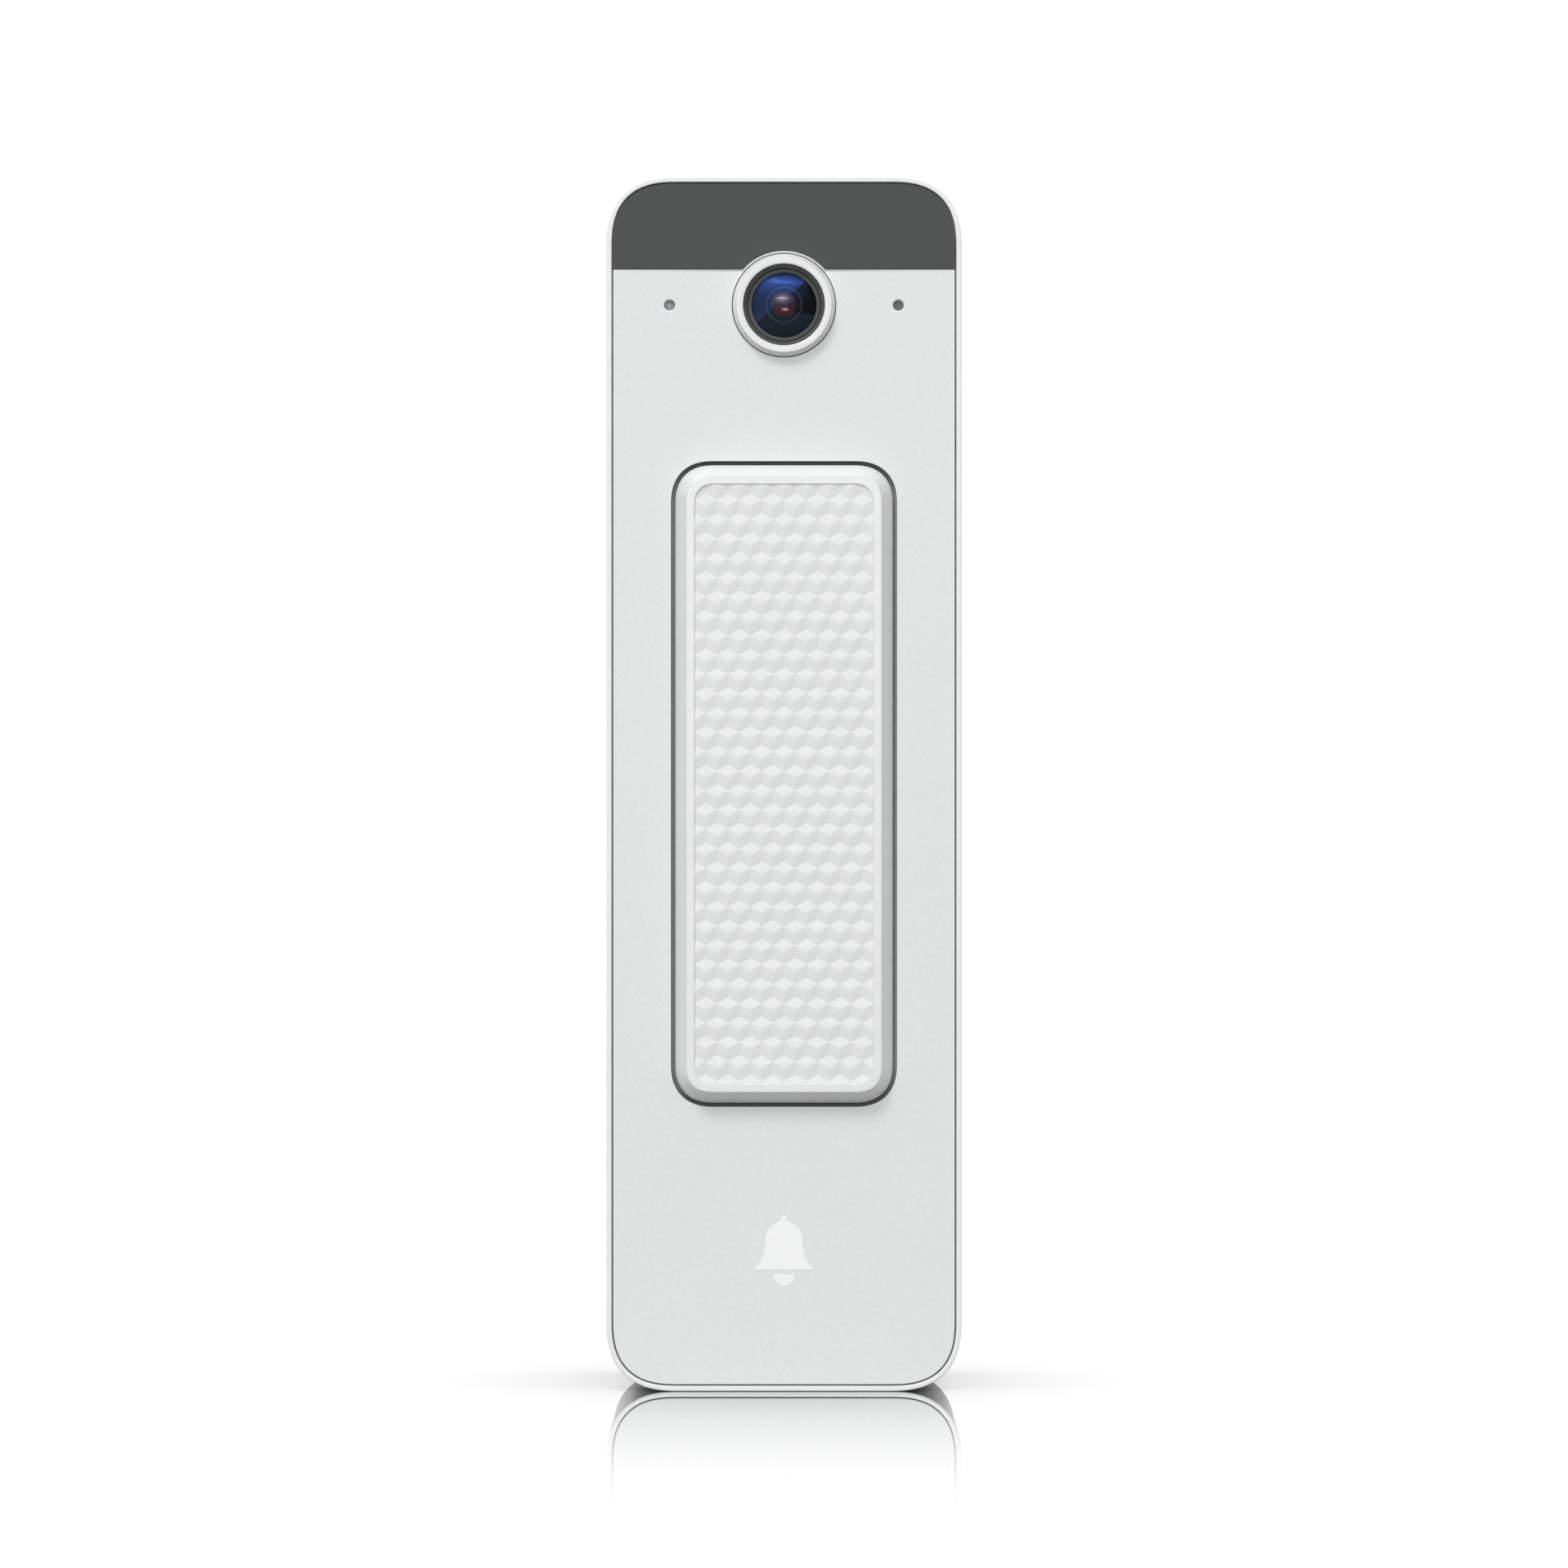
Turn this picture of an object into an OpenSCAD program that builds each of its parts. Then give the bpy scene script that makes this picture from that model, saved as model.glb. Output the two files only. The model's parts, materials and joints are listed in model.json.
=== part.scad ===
// Slim wired video doorbell: a tall soft-cornered body with a camera, a long textured
// push button, a dark infrared window and a wall bracket behind it.
// X points right, Y into the wall and Z up. The origin is the middle of the bracket's
// rear face, which lies against the wall. A depth is a distance from the wall towards
// the visitor, so a point at depth d has y = -d.

/* [Body] */
// Overall width
body_w = 44; // [44:0.5:46]
// Overall height
body_h = 150.4; // [150.4:0.2:152]
// Depth of the front panel's face
front_d = 26; // [26:0.25:27]
// How far each corner's curve reaches along the sides
corner_reach = 8.8; // [8:0.1:9.4]
// Fullness of the corner curve, 2 being a circle
corner_power = 2.5; // [2:0.1:3]
// Thickness of the housing's outer wall
wall_t = 1.8; // [1.6:0.1:1.9]
// Width of the housing's rim beside the front panel
rim_w = 0.65; // [0.5:0.05:0.8]
// Gap between the rim and the front panel
panel_gap = 0.2; // [0.15:0.05:0.3]

/* [Front panel] */
// Thickness of the front panel and the infrared window
panel_t = 1.5; // [1.4:0.1:1.6]
// Height of the joint between panel and window
window_z = 63.7; // [63:0.1:64.5]
// Distance of the two small holes from the middle
small_hole_x = 14.17; // [13.5:0.01:14.5]
// Radius of the two small holes
small_hole_r = 0.67; // [0.6:0.01:0.8]

/* [Camera] */
// Height of the camera's axis
camera_z = 59.3; // [59:0.1:59.6]
// Radius of the panel's collar around the camera
collar_r = 6.73; // [6.65:0.01:6.9]
// Outer radius of the bezel ring
bezel_r = 6.38; // [6.2:0.01:6.4]
// Radius of the front lens
lens_r = 4; // [3.8:0.05:4]
// Travel of the infrared filter carriage
filter_travel = 5; // [4.8:0.05:5]

/* [Button] */
// Half width of the opening in the panel
button_hole_hw = 14; // [13.8:0.05:14.2]
// Half height of the opening in the panel
button_hole_hh = 40; // [39.8:0.05:40.2]
// Gap around the button
button_gap = 0.53; // [0.4:0.01:0.6]
// Width of the button frame's bevel
button_bevel = 1.6; // [1.4:0.1:1.7]
// Height of the button above the panel
button_proud = 2.1; // [1.8:0.1:2.1]
// Travel of the button
button_travel = 0.6; // [0.4:0.05:0.6]

/* [Wall bracket] */
// Thickness of the bracket plate
bracket_t = 1.6; // [1.4:0.1:1.7]
// Distance between the two wall screws
wall_screw_spacing = 132; // [131:0.5:133]
// Half width of a wall screw slot
wall_slot_r = 2.2; // [2:0.05:2.3]
// Length of a wall screw slot
wall_slot_l = 8; // [6:0.5:8]

/* [Rear] */
// Depth of the housing's rear edge
rear_gap = 0.4; // [0.2:0.1:0.5]
// Depth of the recess that takes the bracket
floor_d = 5; // [5:0.05:5.1]
// Thickness of the housing's floor
floor_t = 1.4; // [1.3:0.05:1.4]
// Half width of the cable well
well_hw = 10.2; // [10:0.1:10.4]
// Lower end of the cable well
well_low_z = -57.5; // [-58:0.1:-57]
// Depth of the cable well's front wall
well_d = 16.8; // [16.8:0.05:16.9]

/* [Hidden] */
$fn = 64;

// Overlap by which a cut runs past the surface it opens
past = 1;
// Half sizes of the body and of its nested outlines
body_hw = body_w / 2;
body_hh = body_h / 2;
panel_inset = rim_w + panel_gap;
panel_power = corner_power + 0.1;
// Depths of the front stack, from the panel inwards
rim_proud = 0.1;
panel_back_d = front_d - panel_t;
gasket_t = 0.2;
ledge_d = panel_back_d - gasket_t;
chassis_top_d = panel_back_d - 0.3;
screw_seat_d = chassis_top_d - 1;
chassis_low_d = chassis_top_d - 1.8;
stop_d = chassis_top_d - 0.8;
carrier_flange_d = stop_d - 0.1;
carrier_low_d = carrier_flange_d - 0.7;
pad_low_d = carrier_low_d - 0.6;
switch_top_d = pad_low_d - button_travel - 0.2;
button_board_d = chassis_low_d - 3;
button_board_t = 1;
button_top_d = front_d + button_proud;
// Outlines of the button, from the gap inwards
button_hw = button_hole_hw - button_gap;
button_hh = button_hole_hh - button_gap;
button_reach = 4.8;
rim_hw = button_hw - button_bevel;
rim_hh = button_hh - button_bevel;
lens_gap = 0.02;
lens_top_d = button_top_d - 0.05;
button_rim_w = 0.8;
texture_hw = rim_hw - button_rim_w;
texture_hh = rim_hh - button_rim_w;
texture_reach = 2.6;
frame_step_d = front_d + 0.2;
frame_bevel_d = front_d - 0.5;
frame_lip = 0.5;
// Height of the switches above and below the middle, and of the button's lamps
switch_z = 22;
lamp_x = 7.5;
lamp_zs = [-30, -10, 10, 30];
peg_x = 11.5;
peg_z = 35;
peg_r = 1;
stake_x = 15.8;
stake_z = 20;
stake_r = 0.5;
// Depths of the rear stack, from the floor outwards
inner_floor_d = floor_d + floor_t;
main_board_d = inner_floor_d + 2.2;
main_board_front_d = main_board_d + 1.2;
// The network jack, whose mouth opens downwards into the cable well
well_top_z = -35.2;
well_wall_t = 1.2;
jack_hw = 8;
jack_low_d = inner_floor_d + 0.2;
jack_top_d = 18;
jack_l = 20;
jack_wall_t = 0.3;
plug_hw = 5.9;
plug_low_d = 8.2;
plug_top_d = 16.7;
plug_l = 14;
// The camera's stack
sensor_board_d = inner_floor_d + 1.6;
sensor_board_front_d = sensor_board_d + 1;
holder_d = sensor_board_front_d + 4.2;
holder_tube_d = holder_d + 5.8;
carriage_d = sensor_board_front_d + 1.9;
upper_board_d = front_d - 8.4;
upper_board_front_d = upper_board_d + 1;
bezel_front_d = front_d + 1.1;
lens_edge_t = 1.5;
lens_ring_w = 0.55;
barrel_front_d = front_d + 0.8;
lens_apex_d = front_d + 0.85;
lens_seat_d = front_d - 2;
barrel_r = 5;
barrel_bore_r = 2.55;
camera_thread_r = 4.55;
// Fixing points, as [x, z]
chassis_spots = [for (sx = [-1, 1]) for (sz = [-1, 1]) [17.2 * sx, 46 * sz]];
board_spots = [for (sx = [-1, 1]) for (z = [-8, 38]) [16.5 * sx, z]];
upper_spots = [for (sx = [-1, 1]) [15.5 * sx, 53]];
camera_spots = [for (sx = [-1, 1]) [11.2 * sx, camera_z]];
boot_r = 2.4;
boot_low_d = upper_board_front_d + 1.1;
boot_top_d = chassis_low_d + 0.7;
infrared_spots = [[-12.5, 68.4], [-5, 70], [5, 70], [12.5, 68.4]];
post_bore_r = 0.9;
board_hole_r = 1;
insert_r = 1.5;
insert_l = 6;
insert_bore_r = 0.8;
// The speaker, which sounds through the bottom wall
speaker_d = 14;
inner_low_z = -(body_hh - wall_t);
mesh_t = 0.2;
speaker_low_z = inner_low_z + mesh_t;
speaker_hw = 12;
speaker_hd = 5.8;
lead_xs = [12.5, 13.9];
lead_d = 11;
lead_r = 0.45;
// The security screw in the bottom wall
lock_d = 3.1;
lock_r = 1.3;
lock_tab_low_z = -72.6;
lock_tab_top_z = -70.6;
// The reset plunger in the floor
reset_x = 15;
reset_z = 12;
reset_r = 1.6;
// The mark on the panel
mark_z = -57.8;
mark_t = 0.3;

// ---- Shapes used by many parts ----

// Points of a rectangle whose corners are superelliptic curves
function soft_rect(hw, hh, reach, power, steps = 10) = [
    for (q = [0:3]) for (i = [0:steps])
        let (sx = (q == 0 || q == 3) ? 1 : -1,
             sz = q < 2 ? 1 : -1,
             t = 90 * (q % 2 == 0 ? i : steps - i) / steps)
        [sx * (hw - reach + reach * pow(cos(t), 2 / power)),
         sz * (hh - reach + reach * pow(sin(t), 2 / power))]
];

// Points of a lens surface as [radius, depth], from the axis to its edge
function cap_points(edge_r, sag, apex_d, steps = 8) =
    let (ball_r = (edge_r * edge_r + sag * sag) / (2 * abs(sag)),
         reach_a = asin(edge_r / ball_r))
    [for (i = [0:steps])
        let (a = reach_a * i / steps)
        [ball_r * sin(a), apex_d - sign(sag) * ball_r * (1 - cos(a))]];

// A list in reverse order
function reversed(points) = [for (i = [len(points) - 1:-1:0]) points[i]];

// Soft-cornered outline, in X and Z
module outline(hw, hh, reach, power = 2.4) {
    polygon(soft_rect(hw, hh, reach, power));
}

// The body's outline, drawn in by an inset
module body_outline(inset, power = corner_power) {
    outline(body_hw - inset, body_hh - inset, corner_reach - inset, power);
}

// Solid of an outline in X and Z between two depths
module slab(from_d, to_d) {
    translate([0, -from_d, 0]) rotate([90, 0, 0]) linear_extrude(to_d - from_d) children();
}

// Solid of an outline in X and depth between two heights
module tier(from_z, to_z) {
    translate([0, 0, from_z]) mirror([0, 1, 0]) linear_extrude(to_z - from_z) children();
}

// Box given by its ends along X, Z and depth
module block(x, z, d) {
    translate([x[0], -d[1], z[0]]) cube([x[1] - x[0], d[1] - d[0], z[1] - z[0]]);
}

// Round bar along the depth, at a spot [x, z]
module bar(spot, r, from_d, to_d) {
    slab(from_d, to_d) translate(spot) circle(r = r);
}

// Turned solid about a depth axis at a spot, from points [radius, depth]
module turned(spot, profile) {
    translate([spot[0], 0, spot[1]]) rotate([90, 0, 0]) rotate_extrude() polygon(profile);
}

// Small cap screw: its head stands on the seat and its shank goes back into the wall side
module cap_screw(spot, seat_d, head_r, head_h, shank_r, shank_l) {
    socket_r = head_r * 0.5;
    socket_h = head_h * 0.5;
    difference() {
        union() {
            bar(spot, head_r, seat_d, seat_d + head_h);
            bar(spot, shank_r, seat_d - shank_l, seat_d + head_h / 2);
        }
        slab(seat_d + head_h - socket_h, seat_d + head_h + past)
            translate(spot) circle(r = socket_r, $fn = 6);
    }
}

// Everything below or above a height, as an outline
module below(z) {
    translate([-body_w, -body_h]) square([2 * body_w, body_h + z]);
}
module above(z) {
    translate([-body_w, z]) square([2 * body_w, body_h]);
}

// ---- Wall bracket and rear parts ----

bracket_hw = body_hw - 2.4;
bracket_hh = body_hh - 2.6;
hook_x = 12;
hook_z = 60;
hook_w = 3;
cable_hole_hw = 9;
cable_hole_z = [-56, -37];

// Painted steel plate that is screwed to the wall
module wall_bracket() {
    tab_hw = 5;
    tab_d = floor_d - 0.2;
    finger_d = [bracket_t + 1.8, bracket_t + 2.8];
    color("gainsboro") difference() {
        union() {
            slab(0, bracket_t) outline(bracket_hw, bracket_hh, 6.4, corner_power);
            block([-tab_hw, tab_hw], [lock_tab_low_z, lock_tab_top_z], [bracket_t / 2, tab_d]);
            for (side = [-1, 1]) {
                x = [side * hook_x - hook_w / 2, side * hook_x + hook_w / 2];
                block(x, [hook_z - 2, hook_z], [bracket_t / 2, finger_d[1]]);
                block(x, [hook_z - 2, hook_z + 3], finger_d);
            }
        }
        for (end = [-1, 1]) wall_slot(end * wall_screw_spacing / 2);
        slab(-past, bracket_t + past)
            translate([0, (cable_hole_z[0] + cable_hole_z[1]) / 2])
                outline(cable_hole_hw, (cable_hole_z[1] - cable_hole_z[0]) / 2, 2.5);
        tier(lock_tab_low_z - past, lock_tab_top_z + past) translate([0, lock_d]) circle(r = lock_r);
        for (side = [-1, 1]) slab(-past, bracket_t + past)
            translate([side * hook_x, 12]) outline(3.4, 26, 3);
    }
}

// Upright slot with round ends through the bracket
module wall_slot(z) {
    half = wall_slot_l / 2 - wall_slot_r;
    for (end = [-1, 1]) bar([0, z + end * half], wall_slot_r, -past, bracket_t + past);
    block([-wall_slot_r, wall_slot_r], [z - half, z + half], [-past, bracket_t + past]);
}

// Soft frame that seals the cable well against the bracket
module cable_gasket() {
    lip = 3.2;
    mid_z = (well_low_z + well_top_z) / 2;
    hh = (well_top_z - well_low_z) / 2;
    color("dimgray") slab(bracket_t, floor_d) translate([0, mid_z]) difference() {
        outline(well_hw + lip, hh + lip, 4);
        square([2 * well_hw, 2 * hh], center = true);
    }
}

// Screw that locks the body to the bracket from below
module security_screw() {
    head_r = 2;
    head_h = 1.1;
    shank_l = 3.6;
    top_z = -body_hh + 0.1 + head_h;
    color("silver") difference() {
        union() {
            tier(top_z - head_h, top_z) translate([0, lock_d]) circle(r = head_r);
            tier(top_z - head_h / 2, top_z + shank_l) translate([0, lock_d])
                circle(r = lock_r - 0.02);
        }
        tier(top_z - head_h - past, top_z - head_h / 2) translate([0, lock_d])
            circle(r = 1, $fn = 6);
    }
}

// Deep white shell with the bracket recess behind and the electronics in front
module rear_housing() {
    color("white") difference() {
        union() {
            housing_shell();
            well_walls();
            housing_posts();
            hook_keepers();
            block([-8, 8], [inner_low_z - wall_t / 2, speaker_low_z + 4],
                  [inner_floor_d - floor_t / 2, speaker_d - speaker_hd]);
        }
        well_space();
        post_bores();
        bottom_holes();
        bar([reset_x, reset_z], reset_r + 0.05, 0, inner_floor_d + past);
    }
}

// Outer wall and floor, with a bevel round the front edge
module housing_shell() {
    bevel = 0.5;
    bevel_in = 0.25;
    sliver = 0.01;
    rim_d = front_d + rim_proud;
    difference() {
        union() {
            slab(rear_gap, rim_d - bevel) body_outline(0);
            hull() {
                slab(rim_d - bevel - sliver, rim_d - bevel) body_outline(0);
                slab(rim_d - sliver, rim_d) body_outline(bevel_in);
            }
        }
        slab(0, floor_d) body_outline(wall_t + 0.2);
        slab(inner_floor_d, rim_d + past) body_outline(wall_t);
        slab(ledge_d, rim_d + past) body_outline(rim_w, panel_power);
    }
}

// Box walls that stand on the floor round the cable well
module well_walls() {
    block([-well_hw - well_wall_t, well_hw + well_wall_t],
          [well_low_z - well_wall_t, well_top_z + well_wall_t],
          [inner_floor_d - floor_t / 2, well_d + well_wall_t]);
}

// Space of the cable well, open behind, and the jack's seat in its upper wall
module well_space() {
    seat = 0.15;
    block([-well_hw, well_hw], [well_low_z, well_top_z], [0, well_d]);
    block([-jack_hw - seat, jack_hw + seat], [well_top_z - 0.1, well_top_z + well_wall_t + past],
          [jack_low_d - seat, jack_top_d + past]);
}

// Posts that carry the chassis, the boards and the camera
module housing_posts() {
    root_d = inner_floor_d - floor_t / 2;
    for (spot = chassis_spots) bar(spot, 2.4, root_d, chassis_low_d);
    for (spot = board_spots) bar(spot, 2, root_d, main_board_d);
    for (spot = upper_spots) bar(spot, 2, root_d, upper_board_d);
    for (spot = camera_spots) bar(spot, 1.8, root_d, sensor_board_d);
}

// Bores of the posts, which stop above the floor's rear face
module post_bores() {
    for (spot = chassis_spots) bar(spot, insert_r, chassis_low_d - insert_l, chassis_low_d + past);
    for (spot = board_spots) bar(spot, post_bore_r, floor_d + 0.4, main_board_d + past);
    for (spot = upper_spots) bar(spot, post_bore_r, upper_board_d - 6, upper_board_d + past);
    for (spot = camera_spots) bar(spot, post_bore_r, floor_d + 0.4, sensor_board_d + past);
}

// Bars in the recess that hang on the bracket's hooks
module hook_keepers() {
    rib_t = 0.8;
    bar_hw = hook_w / 2 + 0.7;
    keeper_d = [bracket_t + 0.4, bracket_t + 1.5];
    keeper_z = [hook_z + 0.3, hook_z + 2.3];
    for (side = [-1, 1]) translate([side * hook_x, 0, 0]) {
        block([-bar_hw - rib_t, bar_hw + rib_t], keeper_z, keeper_d);
        for (end = [-1, 1]) {
            x = end * (bar_hw + rib_t / 2);
            block([x - rib_t / 2, x + rib_t / 2], [hook_z - 2, hook_z + 4],
                  [keeper_d[0], floor_d + floor_t / 2]);
        }
    }
}

// Sound slots and the security screw's hole in the bottom wall
module bottom_holes() {
    slot_r = 0.7;
    slot_d = [speaker_d - 4, speaker_d + 4];
    wall_z = [-body_hh - past, inner_low_z + past];
    for (i = [-3:3]) tier(wall_z[0], wall_z[1]) {
        for (d = slot_d) translate([4 * i, d]) circle(r = slot_r);
        translate([4 * i - slot_r, slot_d[0]]) square([2 * slot_r, slot_d[1] - slot_d[0]]);
    }
    tier(wall_z[0], wall_z[1]) translate([0, lock_d]) circle(r = lock_r + 0.15);
    tier(wall_z[0], -body_hh + 1.2) translate([0, lock_d]) circle(r = 2.15);
}

// Threaded brass inserts in the four tall posts
module housing_inserts() {
    color("goldenrod") for (spot = chassis_spots) difference() {
        bar(spot, insert_r, chassis_low_d - insert_l, chassis_low_d);
        bar(spot, insert_bore_r, chassis_low_d - insert_l - past, chassis_low_d + past);
    }
}

// ---- Front panel parts ----

// Foam seal on the housing's ledge, and one with a lip that stands in the button's gap
module panel_gasket() {
    foot_w = 1.2;
    lip_h = 0.6;
    fit = 0.03;
    clear = 0.08;
    color("gray") {
        slab(ledge_d, panel_back_d) difference() {
            body_outline(panel_inset, panel_power);
            body_outline(wall_t + 0.05);
        }
        difference() {
            union() {
                slab(chassis_top_d, panel_back_d) button_opening(foot_w);
                slab(chassis_top_d, panel_back_d + lip_h) button_opening(-fit);
            }
            slab(chassis_top_d - past, front_d)
                outline(button_hw + clear, button_hh + clear, button_reach + clear);
        }
    }
}

// Outline of the button's opening, widened by an amount
module button_opening(wider) {
    outline(button_hole_hw + wider, button_hole_hh + wider, button_reach + button_gap + wider);
}

// Light grey panel with the button's opening and the camera's collar
module front_panel() {
    color("whitesmoke") difference() {
        slab(panel_back_d, front_d) difference() {
            union() {
                intersection() {
                    body_outline(panel_inset, panel_power);
                    below(window_z);
                }
                translate([0, camera_z]) circle(r = collar_r);
            }
            button_opening(0);
        }
        bar([0, camera_z], bezel_r + 0.06, panel_back_d - past, front_d + past);
        for (side = [-1, 1])
            bar([side * small_hole_x, camera_z], small_hole_r, panel_back_d - past, front_d + past);
        slab(front_d - mark_t, front_d + past) bell_shape();
    }
}

// Filled outline of a hand bell
module bell_shape() {
    dome_r = 2.3;
    mouth_hw = 3.7;
    mouth_z = -2.4;
    dome_z = 1.3;
    stem_hw = 0.35;
    stem_l = dome_r + 0.6;
    clapper_r = 1.3;
    clapper_z = mouth_z - 0.7;
    steps = 8;
    flare = [for (i = [0:steps]) let (t = i / steps)
        [dome_r + (mouth_hw - dome_r) * pow(t, 2.6), dome_z + (mouth_z - dome_z) * t]];
    mirrored = [for (p = reversed(flare)) [-p[0], p[1]]];
    translate([0, mark_z]) {
        polygon(concat(flare, mirrored));
        translate([0, dome_z]) circle(r = dome_r);
        translate([-stem_hw, dome_z]) square([2 * stem_hw, stem_l]);
        difference() {
            translate([0, clapper_z]) circle(r = clapper_r);
            translate([-mouth_hw, clapper_z + 0.1]) square([2 * mouth_hw, mouth_hw]);
        }
    }
}

// Glossy bell pictogram, let into the panel
module panel_mark() {
    color("white") slab(front_d - mark_t, front_d) bell_shape();
}

// Dark window that hides the infrared lamps
module ir_window() {
    joint = 0.06;
    color([0.33, 0.33, 0.33]) slab(panel_back_d, front_d) difference() {
        intersection() {
            body_outline(panel_inset, panel_power);
            above(window_z + joint);
        }
        translate([0, camera_z]) circle(r = collar_r + joint);
    }
}

// Black frame behind the panel that holds the button, the camera and the boards
module inner_chassis() {
    skirt_t = 1.2;
    pocket_hw = button_hole_hw + 1.2;
    pocket_hh = button_hole_hh + 1.2;
    camera_hole_r = 7.6;
    lamp_hole_r = 2;
    screw_hole_r = 0.95;
    screw_head_r = 1.95;
    pipe_hole_r = 0.75;
    pipe_head_r = 1.7;
    color([0.12, 0.12, 0.12]) difference() {
        union() {
            slab(chassis_low_d, chassis_top_d) body_outline(wall_t + 0.3);
            slab(button_board_d, chassis_low_d)
                outline(pocket_hw + skirt_t, pocket_hh + skirt_t, button_reach + 3);
            block([-8, 8], [speaker_low_z + 0.2, speaker_low_z + 4],
                  [speaker_d + speaker_hd, chassis_low_d + 0.2]);
            for (sx = [-1, 1]) for (sz = [-1, 1]) {
                spot = [sx * stake_x, sz * stake_z];
                bar(spot, stake_r, button_board_d - button_board_t, button_board_d + 0.2);
                bar(spot, 2 * stake_r, button_board_d - button_board_t - 0.3,
                    button_board_d - button_board_t);
            }
        }
        slab(button_board_d - past, stop_d) outline(pocket_hw, pocket_hh, button_reach + 2);
        slab(stop_d - past, chassis_top_d + past) button_opening(0);
        through_hole([0, camera_z], camera_hole_r);
        for (spot = infrared_spots) through_hole(spot, lamp_hole_r);
        for (spot = chassis_spots) {
            through_hole(spot, screw_hole_r);
            bar(spot, screw_head_r, screw_seat_d, chassis_top_d + past);
        }
        through_hole([-small_hole_x, camera_z], pipe_hole_r);
        bar([-small_hole_x, camera_z], pipe_head_r, screw_seat_d, chassis_top_d + past);
        through_hole([small_hole_x, camera_z], small_hole_r);
        bar([small_hole_x, camera_z], boot_r + 0.1, chassis_low_d - past, boot_top_d);
    }
}

// Round hole through the chassis plate
module through_hole(spot, r) {
    bar(spot, r, chassis_low_d - past, chassis_top_d + past);
}

// Screws that hold the chassis in the housing
module chassis_screws() {
    color("dimgray") for (spot = chassis_spots)
        cap_screw(spot, screw_seat_d, 1.8, 0.9, insert_bore_r - 0.02, 6.5);
}

// ---- Camera ----

// White ring round the lens, held behind the panel by its flange
module lens_bezel() {
    flange_d = [front_d - 2.7, front_d - 1.6];
    flange_r = 7.3;
    bore_r = barrel_r + 0.1;
    bevel_w = 0.5;
    bevel_h = 0.65;
    color("white") turned([0, camera_z], [
        [bore_r, flange_d[0]], [flange_r, flange_d[0]], [flange_r, flange_d[1]],
        [bezel_r, flange_d[1]], [bezel_r, bezel_front_d - bevel_h],
        [bezel_r - bevel_w, bezel_front_d], [bore_r, bezel_front_d]
    ]);
}

// Black stepped tube that carries the lenses
module lens_barrel() {
    rear_d = holder_d + 0.2;
    shoulder_d = holder_tube_d + 0.3;
    seat_r = lens_r + 0.3;
    ring_r = lens_r + lens_ring_w;
    ring_d = lens_seat_d + lens_edge_t;
    color([0.2, 0.2, 0.2]) turned([0, camera_z], [
        [barrel_bore_r, rear_d], [camera_thread_r, rear_d], [camera_thread_r, shoulder_d],
        [barrel_r, shoulder_d], [barrel_r, barrel_front_d], [lens_r + 0.7, barrel_front_d],
        [ring_r, barrel_front_d - 0.4], [ring_r, ring_d], [seat_r, ring_d],
        [seat_r, lens_seat_d], [barrel_bore_r, lens_seat_d]
    ]);
}

// Ring that presses the front lens into the barrel
module lens_retainer() {
    low_d = lens_seat_d + lens_edge_t;
    top_d = low_d + 0.65;
    chamfer = 0.2;
    color([0.3, 0.3, 0.3]) turned([0, camera_z], [
        [lens_r, low_d], [lens_r + lens_ring_w, low_d], [lens_r + lens_ring_w, top_d],
        [lens_r + chamfer, top_d], [lens_r, top_d - chamfer]
    ]);
}

// Domed wide-angle lens, hollow behind
module front_lens() {
    hollow_r = 2.2;
    flange_r = lens_r + 0.3;
    sag = 1;
    color([0.15, 0.2, 0.45]) turned([0, camera_z], concat(
        cap_points(lens_r, sag, lens_apex_d),
        [[lens_r, lens_seat_d + lens_edge_t], [flange_r, lens_seat_d + lens_edge_t],
         [flange_r, lens_seat_d]],
        reversed(cap_points(hollow_r, sag, lens_seat_d + sag))
    ));
}

// Two smaller lenses deeper in the barrel
module inner_lenses() {
    sags = [0.7, -0.5];
    thickness = 2.2;
    color([0.4, 0.25, 0.3]) for (apex_d = [lens_seat_d - 0.6, lens_seat_d - 6])
        turned([0, camera_z], concat(
            cap_points(barrel_bore_r, sags[0], apex_d),
            reversed(cap_points(barrel_bore_r, sags[1], apex_d - thickness))
        ));
}

// Thin ring that sets the lens opening
module aperture_stop() {
    top_d = lens_seat_d - 3.4;
    low_d = top_d - 0.2;
    hole_r = 1.1;
    color("black") turned([0, camera_z], [
        [hole_r, low_d], [barrel_bore_r, low_d], [barrel_bore_r, top_d], [hole_r, top_d]
    ]);
}

// Black box and tube over the image sensor
module lens_holder() {
    half = 8.5;
    inner = 7.3;
    rail = [3.1, 3.8];
    roof_t = 0.8;
    tube_r = 6;
    color([0.15, 0.15, 0.15]) difference() {
        union() {
            block([-half, half], [camera_z - half, camera_z + half], [sensor_board_front_d, holder_d]);
            bar([0, camera_z], tube_r, holder_d - roof_t / 2, holder_tube_d);
        }
        difference() {
            block([-inner, inner], [camera_z - inner, camera_z + inner],
                  [sensor_board_front_d - past, holder_d - roof_t]);
            for (side = [-1, 1]) block([-half, half],
                side > 0 ? [camera_z + rail[0], camera_z + rail[1]]
                         : [camera_z - rail[1], camera_z - rail[0]],
                [carriage_d, holder_d]);
        }
        bar([0, camera_z], camera_thread_r + 0.02, sensor_board_front_d, holder_tube_d + past);
    }
}

// Half height, thickness and width of the filter carriage, and its glasses
carriage_hh = 3;
carriage_t = 1;
carriage_w = 9.4;
filter_hw = 2.15;
filter_seat_d = carriage_d + 0.7;

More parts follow.
